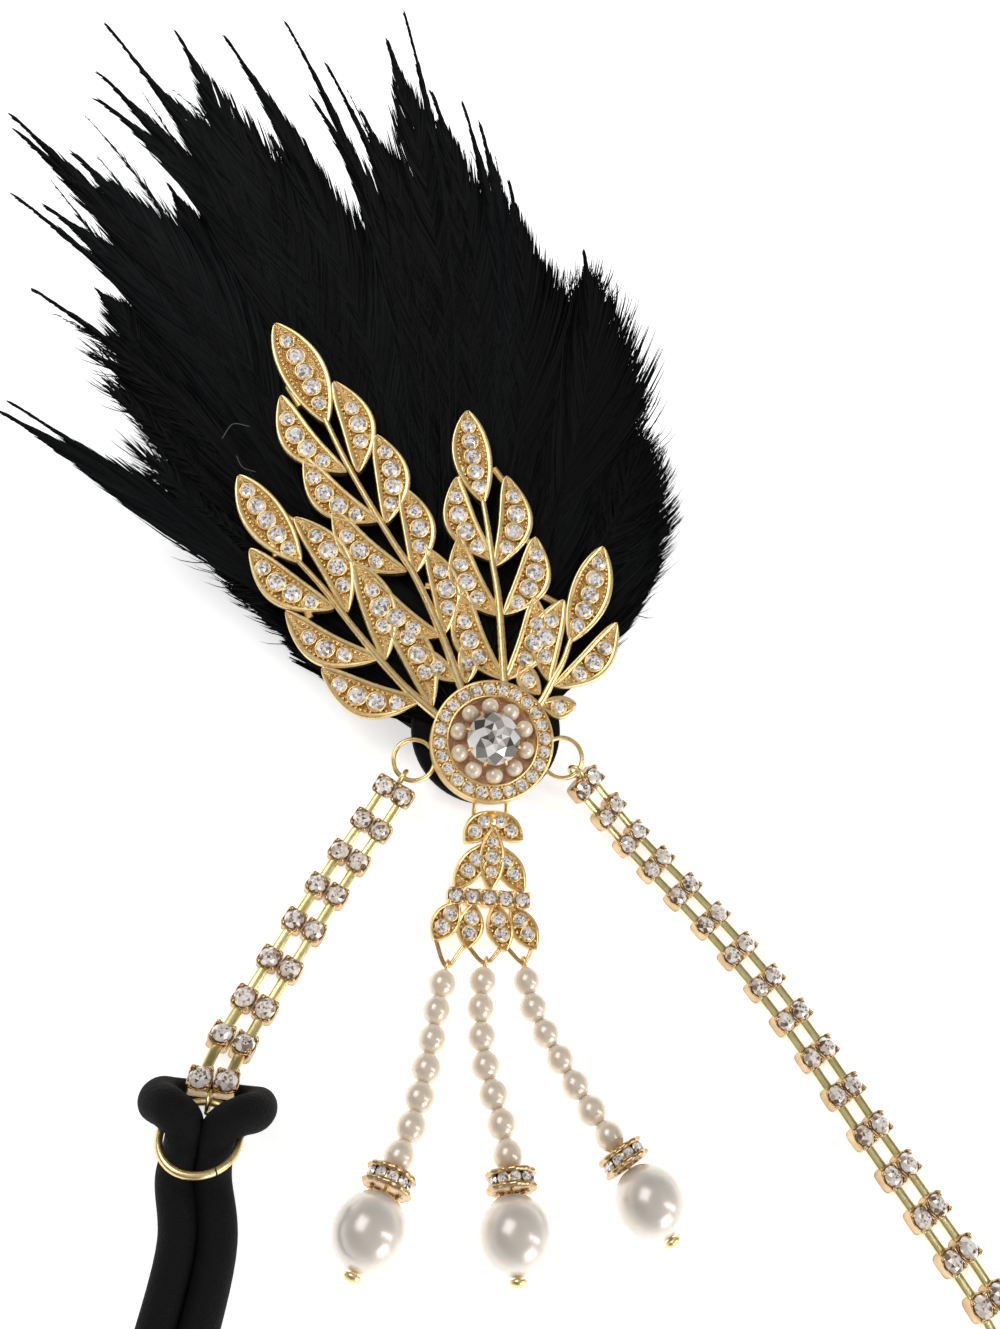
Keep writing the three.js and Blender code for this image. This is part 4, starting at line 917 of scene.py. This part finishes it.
drop.stamp(tube(eye, EYE_WIRE_R, 10, True), shifted(BAIL_DROP), AS_PALE)
cap = ball(1.5, rows=10, segments=20)
drop.stamp(cap, DROP @ shifted((0, -0.6, -0.4)) @ np.diag((0.95, 0.85, 0.55, 1)), AS_PALE)
drop.build("drop", METALS, "gold", ["drop_ornament"])
drop_stones.build("drop_stones", [STONE], "stone")

# Strings of pearls

bead = ball(BEAD_R * BEAD_FULL, BEAD_R * 1.03, 18, 28)
great_pearl = ball(DROP_PEARL_R, DROP_PEARL_HALF * PEARL_FORM, 36, 56)
pitch = 2 * BEAD_R + BEAD_SPACE
first_bead = STRING_EYE_R + BEAD_R
rondelle_at = first_bead + (BEADS - 1) * pitch + BEAD_R + BEAD_SPACE + RONDELLE_W / 2
pearl_at = rondelle_at + RONDELLE_W / 2 + DROP_PEARL_HALF
tip_at = pearl_at + PEARL_FORM * DROP_PEARL_HALF + GAP / 2 + TIP_LENGTH / 2
flange = ((2.2, -0.28), (RONDELLE_R - 0.2, -0.3), (RONDELLE_R, 0), (RONDELLE_R - 0.2, 0.3), (2.2, 0.28))
for side, points in HANGERS.items():
    start = apply(DROP, flat_points(points, DROP_LENGTH, -DROP_THICK / 2)[1])
    route = Route([start, *((start[0] + x, start[1] + y, z) for x, y, z in STRING_ROUTES[side])])
    string = Shape()
    for i in range(BEADS):
        turned = np.array(Matrix.Rotation(rng.uniform(0, 6.28), 4, "X"))
        uneven = np.diag((1.0, *rng.uniform(0.97, 1.0, 2), 1))
        string.stamp(bead, route.place(first_bead + i * pitch) @ turned @ uneven)
    core = [route.at(d) for d in np.linspace(STRING_EYE_R, tip_at, 60)]
    string.stamp(tube(core, CORE_R, 8), np.eye(4), finish=1)
    loop = circle(STRING_EYE_R, 24)[:, [0, 2, 1]]
    string.stamp(tube(loop, CORE_R * 0.8, 8, True), route.place(0.05), finish=1)
    outline = ((0.3, -0.55), (TIP_R, -0.35), (TIP_R * 1.05, 0), (TIP_R * 0.7, 0.35), (0.1, 0.5))
    string.stamp(spin(outline, 24, closed=False), route.place(tip_at) @ TO_X, finish=1)
    string.build(f"string_{side}", [CREAM_PEARL, PALE_GOLD], "pearl", [f"pearl_string_{side}"])

    wheel, crystals = Shape(), Shape()
    at_wheel = route.place(rondelle_at) @ TO_X
    for height in (-WHEEL_FLANGE, WHEEL_FLANGE):
        wavy = spin(flange, 72, ripple=lambda turn: 1 + 0.035 * np.cos(12 * turn))
        wheel.stamp(wavy, at_wheel @ shifted((0, 0, height)), AS_ROSE)
    wheel.stamp(disc(WHEEL_CORE_R, -0.8, 0.8, 0.1, 32), at_wheel, AS_ROSE)
    for turn in turns(WHEEL_CRYSTALS):
        out = Matrix.Rotation(turn, 4, "Z") @ Matrix.Translation((WHEEL_CORE_R + 0.17, 0, 0))
        facing = at_wheel @ np.array(out @ Matrix.Rotation(math.pi / 2, 4, "Y"))
        crystals.stamp(GEM, facing @ shifted((0, 0, 0), 0.76), tone=PAINTED_FACET_GLINTS)
    wheel.build(f"wheel_{side}", METALS, "rose", [f"rondelle_{side}"])
    crystals.build(f"wheel_crystals_{side}", [STONE], "stone")

    large = Shape().stamp(great_pearl, route.place(pearl_at) @ TO_X)
    large.build(f"great_pearl_{side}", [WHITE_PEARL], "pearl", [f"drop_pearl_{side}"])

# Chains and the rings at their ends

cup = square_cup(CUP * 0.97, CUP_HEIGHT, 0.32)
eye_height = BAR_LEVEL + BAR_THICK / 2
knots = {}
for side, points in CHAIN_ROUTES.items():
    route = Route(points)
    usable = route.length - 2 * CHAIN_EYE_REACH
    pairs = round(usable / CHAIN_PITCH) + 1
    places = [route.place(CHAIN_EYE_REACH + usable * i / (pairs - 1)) for i in range(pairs)]
    chain, stones = Shape(), Shape()
    for place in places:
        place[2, 3] = max(place[2, 3], abs(place[2, 0]) * CUP / 2)
        for y in (-CUP / 2, CUP / 2):
            chain.stamp(cup, place @ shifted((0, y, 0)))
            gem_at(chain, stones, place, (0, y, CUP_HEIGHT - 0.1), CHAIN_STONE_R * 0.94, False)
    for here, ahead in zip(places[:-1], places[1:]):
        for y in (-CUP / 2, CUP / 2):
            a, b = (apply(place, (0, y, eye_height)) for place in (here, ahead))
            reach = (b - a) / norm(b - a) * (CUP / 2 - 0.3)
            link = np.linspace(a + reach, b - reach, 4)
            chain.stamp(tube(link, 0.68 * BAR_W, 14, flat=0.5), np.eye(4), AS_LEMON)
    for place, way in ((places[0], -1), (places[-1], 1)):
        turned = place @ np.diag((way, way, 1, 1))
        near, far = CUP / 2 - 0.2, CHAIN_EYE_REACH - CHAIN_EYE_R + 0.2
        outline = ((near, -CUP * 0.8), (far, -BAR_W / 2), (far, BAR_W / 2), (near, CUP * 0.8))
        chain.stamp(block(outline, BAR_LEVEL, BAR_LEVEL + BAR_THICK), turned, AS_LEMON)
        upright = circle(CHAIN_EYE_R, 28)[:, [0, 2, 1]] + (CHAIN_EYE_REACH, 0, eye_height)
        chain.stamp(tube(upright, CHAIN_EYE_WIRE_R, 10, True), turned, AS_LEMON)
    chain.build(f"chain_{side}_cups", METALS, "rose", [f"chain_{side}"])
    stones.build(f"chain_{side}_stones", [CHAMPAGNE], "stone")

    last = places[-1]
    hang = apply(last, (CHAIN_EYE_REACH, 0, eye_height))
    back = unit(np.array((-last[0, 0], -last[1, 0], 0)))
    middle = hang - back * RING_R * math.cos(RING_TILT)
    knot = knots[side] = axes_at(np.cross(back, (0, 0, 1)), back, (0, 0, 1), (*middle[:2], 0))
    height = hang[2] - RING_R * math.sin(RING_TILT)
    turn = -math.pi / 2 + 0.6 + np.linspace(0.02, 2 * math.pi - 0.02, 96)
    tilted = knot @ shifted((0, 0, height)) @ np.array(Matrix.Rotation(RING_TILT, 4, "X"))
    wire = tube(apply(tilted, around(RING_R, turn)), RING_WIRE_R, 14)
    wire.build(f"split_ring_{side}", [PALE_GOLD], "ring_gold", [f"elastic_ring_{side}"])

# Elastic


def knot_points(place):
    """Points and radii of the lark's head at a ring."""
    rows = [(-x, y, z, r) for x, y, z, r in KNOT] + [BIGHT] + list(reversed(KNOT))
    rows = np.array(rows) * ROPE_R
    return np.hstack([apply(place, rows[:, :3]), rows[:, 3:]])


def band_run(side):
    """Points and radii of one of the two runs between the rings."""
    route = Route([(x, y, ROPE_R) for x, y in BAND_ROUTE])
    spots = [route.place(route.length * i / (len(BAND_ROUTE) - 1)) for i in range(len(BAND_ROUTE))]
    return np.array([(*(spot[:3, 3] + side * ROPE_R * spot[:3, 1]), ROPE_R) for spot in spots])


rope = catmull(np.vstack([
    knot_points(knots["left"])[::-1], band_run(-1), knot_points(knots["right"])[::-1], band_run(1)[::-1],
]), True, 10)
rope[:, 3] *= 1.02
rope[:, 2] = np.maximum(rope[:, 2], rope[:, 3])
tube(rope[:, :3], rope[:, 3], 24, True).build("elastic", [ELASTIC], "elastic", ["elastic_band"])

# Plume


def reach_at(angle):
    """How far the plume reaches at an angle in degrees from the right."""
    marks, shares = np.array(ENVELOPE).T
    return np.interp(angle, marks, shares) * PLUME_LENGTH


def polar(angle, distance):
    return around(distance, np.radians(angle))[..., :2]


def feather(made, layer, root, tip, bow, longest, count, height, fine=0.4, droop=0.0, loose=0.07, taper=0.45,
            open_=30, past=2.5):
    """A feather in a layer's plane: a thin quill with long barbs at both sides that sweep to the tip, each
    a tapered ribbon. Open is the barbs' angle at the foot in degrees, taper the share of the feather over
    which they shorten, and past how far they may reach past the tip."""
    length = norm(tip - root)
    along = (tip - root) / length
    left = np.array([-along[1], along[0]])
    shade = rng.uniform(0, 0.4)

    def quill(t):
        sweep = 4 * t * (1 - t) + 0.35 * t**3
        flat = root + t[:, None] * length * along + (bow * length * sweep)[:, None] * left
        return flat, height - droop * t**2

    t = np.sort(rng.uniform(BARE_QUILL, 0.985, count) ** 0.85)
    base, base_z = quill(t)
    ahead, _ = quill(t + 0.01)
    tangent = unit(ahead - base)
    side = np.where(np.arange(count) % 2, 1.0, -1.0)
    away = np.stack([-tangent[:, 1], tangent[:, 0]], -1) * side[:, None]
    form = np.clip((1 - t) / taper, 0.1, 1) * np.clip((t - BARE_QUILL) / 0.12 + 0.3, 0, 1)
    size = longest * form * rng.uniform(1 - 2 * loose, 1 + loose, count)
    size = np.minimum(size, 1.04 * (1 - t) * length + past)
    closing = np.interp(t, (0, 0.5, 0.85, 1), (1, 0.75, 0.45, 0.1))
    angle = np.radians(open_ * closing + rng.normal(0, 30 * loose, count))
    start_way = np.cos(angle)[:, None] * tangent + np.sin(angle)[:, None] * away
    steps = 5
    s = np.linspace(0, 1, steps)
    bend = 0.45 * (s**2)[None, :, None] * (np.sin(angle)[:, None] * away)[:, None]
    spine = base[:, None] + size[:, None, None] * (s[None, :, None] * start_way[:, None] - bend)
    across = np.stack([-start_way[:, 1], start_way[:, 0]], -1)[:, None]
    breadth = fine * np.array([1.0, 1.0, 0.9, 0.65, 0.08])[None, :, None] / 2
    z = base_z[:, None] + 0.35 - (rng.uniform(0.2, 1.1, count)[:, None] * s[None] ** 1.5)
    tilt = rng.uniform(-0.5, 0.5, count)[:, None] * fine
    edges = [
        np.concatenate([spine + way * breadth * across, (z + way * tilt / 2)[..., None]], -1)
        for way in (-1, 1)
    ]
    points = np.stack(edges, 2).reshape(-1, 3)
    block = 2 * steps * np.arange(count)[:, None, None]
    strip = np.array([(2 * k, 2 * k + 1, 2 * k + 3, 2 * k + 2) for k in range(steps - 1)])[None]
    tones = np.repeat(np.clip(shade + rng.uniform(0, 0.16, count), 0, 1), steps - 1)
    made.add(apply(layer, points), (block + strip).reshape(-1, 4), 0, True, tones)
    t = np.linspace(0, 0.97, 20)
    flat, z = quill(t)
    stem = np.concatenate([flat, (z + 0.15)[:, None]], 1)
    made.stamp(tube(stem, np.linspace(0.4, 0.06, 20), 5), layer)


def mass(made, layer, share, depth, height, turn_from, turn_to):
    """The dense middle of a layer: a closed lens with a ragged edge, under the feathers."""
    slices, rows = 90, 10
    angles = np.linspace(turn_from, turn_to, slices)
    ragged = np.where(np.arange(slices) % 2, 1.0, 0.965) * rng.uniform(0.97, 1.0, slices)
    edge = reach_at(angles) * share * ragged
    rho = np.linspace(0.02, 1, rows)
    flat = polar(np.broadcast_to(angles[:, None], (slices, rows)), edge[:, None] * rho[None])
    swell = depth * np.sqrt(np.clip(1 - rho**4, 0, 1)) * np.clip(rho * 5, 0.4, 1)
    top, under = (
        np.concatenate([flat, np.broadcast_to(z, (slices, rows))[..., None]], -1)
        for z in (height + swell, height - swell - 0.05)
    )
    made.stamp(Shape().loft(np.concatenate([top, under[:, ::-1]], 1), tone=0.1), layer)


def build_feathers(name, made):
    """Builds a piece of the plume; ribbons have no inside, so their faces aren't turned."""
    made.build(name, [FEATHER], "feather", ["feather_plume"], mend=False)


MIDDLE = pose(PLUME_LEAN / 2, 0, (0, 2, PLUME_ROOT[2] * 0.42))
FLOOR_LAYER = pose(0, 0, (0, 2, 0))

# The layers that fill the wedge between the plume and the surface
under = Shape()
mass(under, FLOOR_LAYER, 0.64, 1.6, 2.0, 45, 140)
mass(under, MIDDLE, 0.72, 2.2, 1.4, 42, 142)
for layer, share, height in ((FLOOR_LAYER, 0.74, 3.3), (MIDDLE, 0.86, 3.4)):
    for angle in np.linspace(48, 140, 16):
        away = reach_at(angle) * share * rng.uniform(0.9, 1.04)
        feather(under, layer, polar(angle, 6), polar(angle, away), rng.normal(0, 0.02),
                min(20, 0.32 * away), 260, height, 0.55, droop=2.4)
build_feathers("plume_under", under)

# The main spread: broad feathers, the outer ones first
for ring, (name, share, number) in enumerate(PLUME_RINGS):
    body = Shape()
    if ring == 0:
        mass(body, PLUME, 0.81, 1.7, 0.0, 42, 146)
    for angle in np.linspace(46, 144, number) + rng.uniform(-2, 2, number):
        away = reach_at(angle) * share * rng.uniform(0.93, 1.02)
        bow = rng.normal(-0.03, 0.015)
        feather(body, PLUME, polar(angle, 5), polar(angle, away), bow, min(26, 0.34 * away), 400,
                1.6 + 0.55 * ring, 0.5, droop=1.2, taper=0.32)
    build_feathers(f"plume_{name}", body)

# Locks that end in the points at the top, and loose wisps round the edge
spikes = Shape()
for x, y, breadth in SPIKES:
    tip = np.array((x, y)) * PLUME_LENGTH
    bow = rng.normal(-0.065, 0.02)
    feather(spikes, PLUME, tip * 0.3, tip, bow, 12 + 220 * breadth, 400, 2.2, 0.42, taper=0.75,
            open_=190 * breadth)
for _ in range(WISPS):
    angle = rng.uniform(84, 138)
    away = reach_at(angle) * rng.uniform(0.9, 1.05)
    tip = polar(angle + rng.normal(0, 1.2), away)
    feather(spikes, PLUME, polar(angle, 0.6 * away), tip, rng.normal(-0.08, 0.04), rng.uniform(10, 18), 90,
            1.6, 0.17, loose=0.2, taper=0.8, open_=17)
build_feathers("plume_spikes", spikes)

# Two pale stray hairs on the spread
stray = Shape()
for points in HAIRS:
    path = np.array([(x, y, 4.2 + 0.5 * k) for k, (x, y) in enumerate(points)])
    stray.stamp(tube(catmull(path, steps=8), HAIR_R, 5), PLUME)
stray.build("stray_hairs", [HAIR], "feather")

# Down
down = Shape()
for low_angle, high_angle, number, long in DOWN:
    for _ in range(number):
        angle = rng.uniform(low_angle, high_angle)
        away = reach_at(angle) * rng.uniform(0.74, 0.95)
        sweep = rng.uniform(-0.12, 0.12)
        root = polar(angle + rng.uniform(-4, 4), 0.55 * away)
        longest = long * rng.uniform(0.5, 0.85)
        feather(down, PLUME, root, polar(angle, away), sweep, longest, 140, rng.uniform(0, 2), 0.2, loose=0.28,
                open_=46, taper=0.12, past=6)
build_feathers("plume_down", down)

# Pad, felt patch and the taped quills under the brooch
pad_top = -MEDALLION_DEPTH - BACK_PLATE - 2 * GAP
backing = Shape()
backing.stamp(disc(PAD_R, pad_top - PAD_THICK, pad_top), BROOCH @ shifted((0, PAD_SHIFT, 0)))
pad_back = pad_top - PAD_THICK
patch = block(np.array(SQUARE) * PATCH_HALF, pad_back - PATCH_THICK, pad_back + 0.2)
backing.stamp(patch, BROOCH @ shifted((0, -PATCH_DROP, 0)))
tape = [(0, 1.8 + d, pad_back - 1.7) for d in np.linspace(0, BIND_LENGTH, 40)]
wound = BIND_R + 0.12 * np.sin(np.arange(40) * 1.4)
backing.stamp(tube(tape, wound, 20), BROOCH)
backing.build("felt_backing", [ELASTIC], "feather", ["feather_plume"])

# Floor, lights and camera

paper = Look(
    "white_paper", (0.93, 0.93, 0.93), 0.9, Specular_IOR_Level=0.1, Emission_Color=(1, 1, 1, 1),
    Emission_Strength=FLOOR_GLOW,
)
mesh = bpy.data.meshes.new("paper")
mesh.from_pydata(flat_points(SQUARE, PAPER_HALF, 0).tolist(), [], [(0, 1, 2, 3)])
mesh.materials.append(paper.material)
floor = put("paper", mesh)

sky = bpy.data.worlds.new("studio")
bpy.context.scene.world = sky
sky.use_nodes = True
tree = sky.node_tree
way = tree.nodes.new("ShaderNodeTexCoord").outputs["Generated"]
axes = tree.nodes.new("ShaderNodeSeparateXYZ")
tree.links.new(way, axes.inputs["Vector"])
background = tree.nodes["Background"].inputs
tree.links.new(ramp(tree, axes.outputs["Z"], SKY), background["Color"])
background["Strength"].default_value = SKY_STRENGTH

for name, at, size, power in LIGHTS:
    data = bpy.data.lights.new(name, "AREA")
    data.shape = "RECTANGLE"
    data.size, data.size_y = size
    data.energy = power
    lamp = put(name, data)
    lamp.location = at
    lamp.rotation_euler = (-lamp.location).to_track_quat("-Z", "Y").to_euler()

lens = bpy.data.cameras.new("camera")
lens.sensor_fit = "VERTICAL"
lens.sensor_height = lens.sensor_width = 36
lens.lens = CAMERA_LENS
lens.clip_start, lens.clip_end = CAMERA_CLIP
camera = put("camera", lens)
across, up = np.array(CAMERA_ACROSS), np.array(CAMERA_UP)
view = axes_at(unit(across), unit(up), unit(np.cross(across, up)), world(CAMERA_AT))
camera.matrix_world = Matrix(view.tolist())
bpy.context.scene.camera = camera

settings = bpy.context.scene.view_settings
settings.view_transform = "Standard"
settings.look = "None"
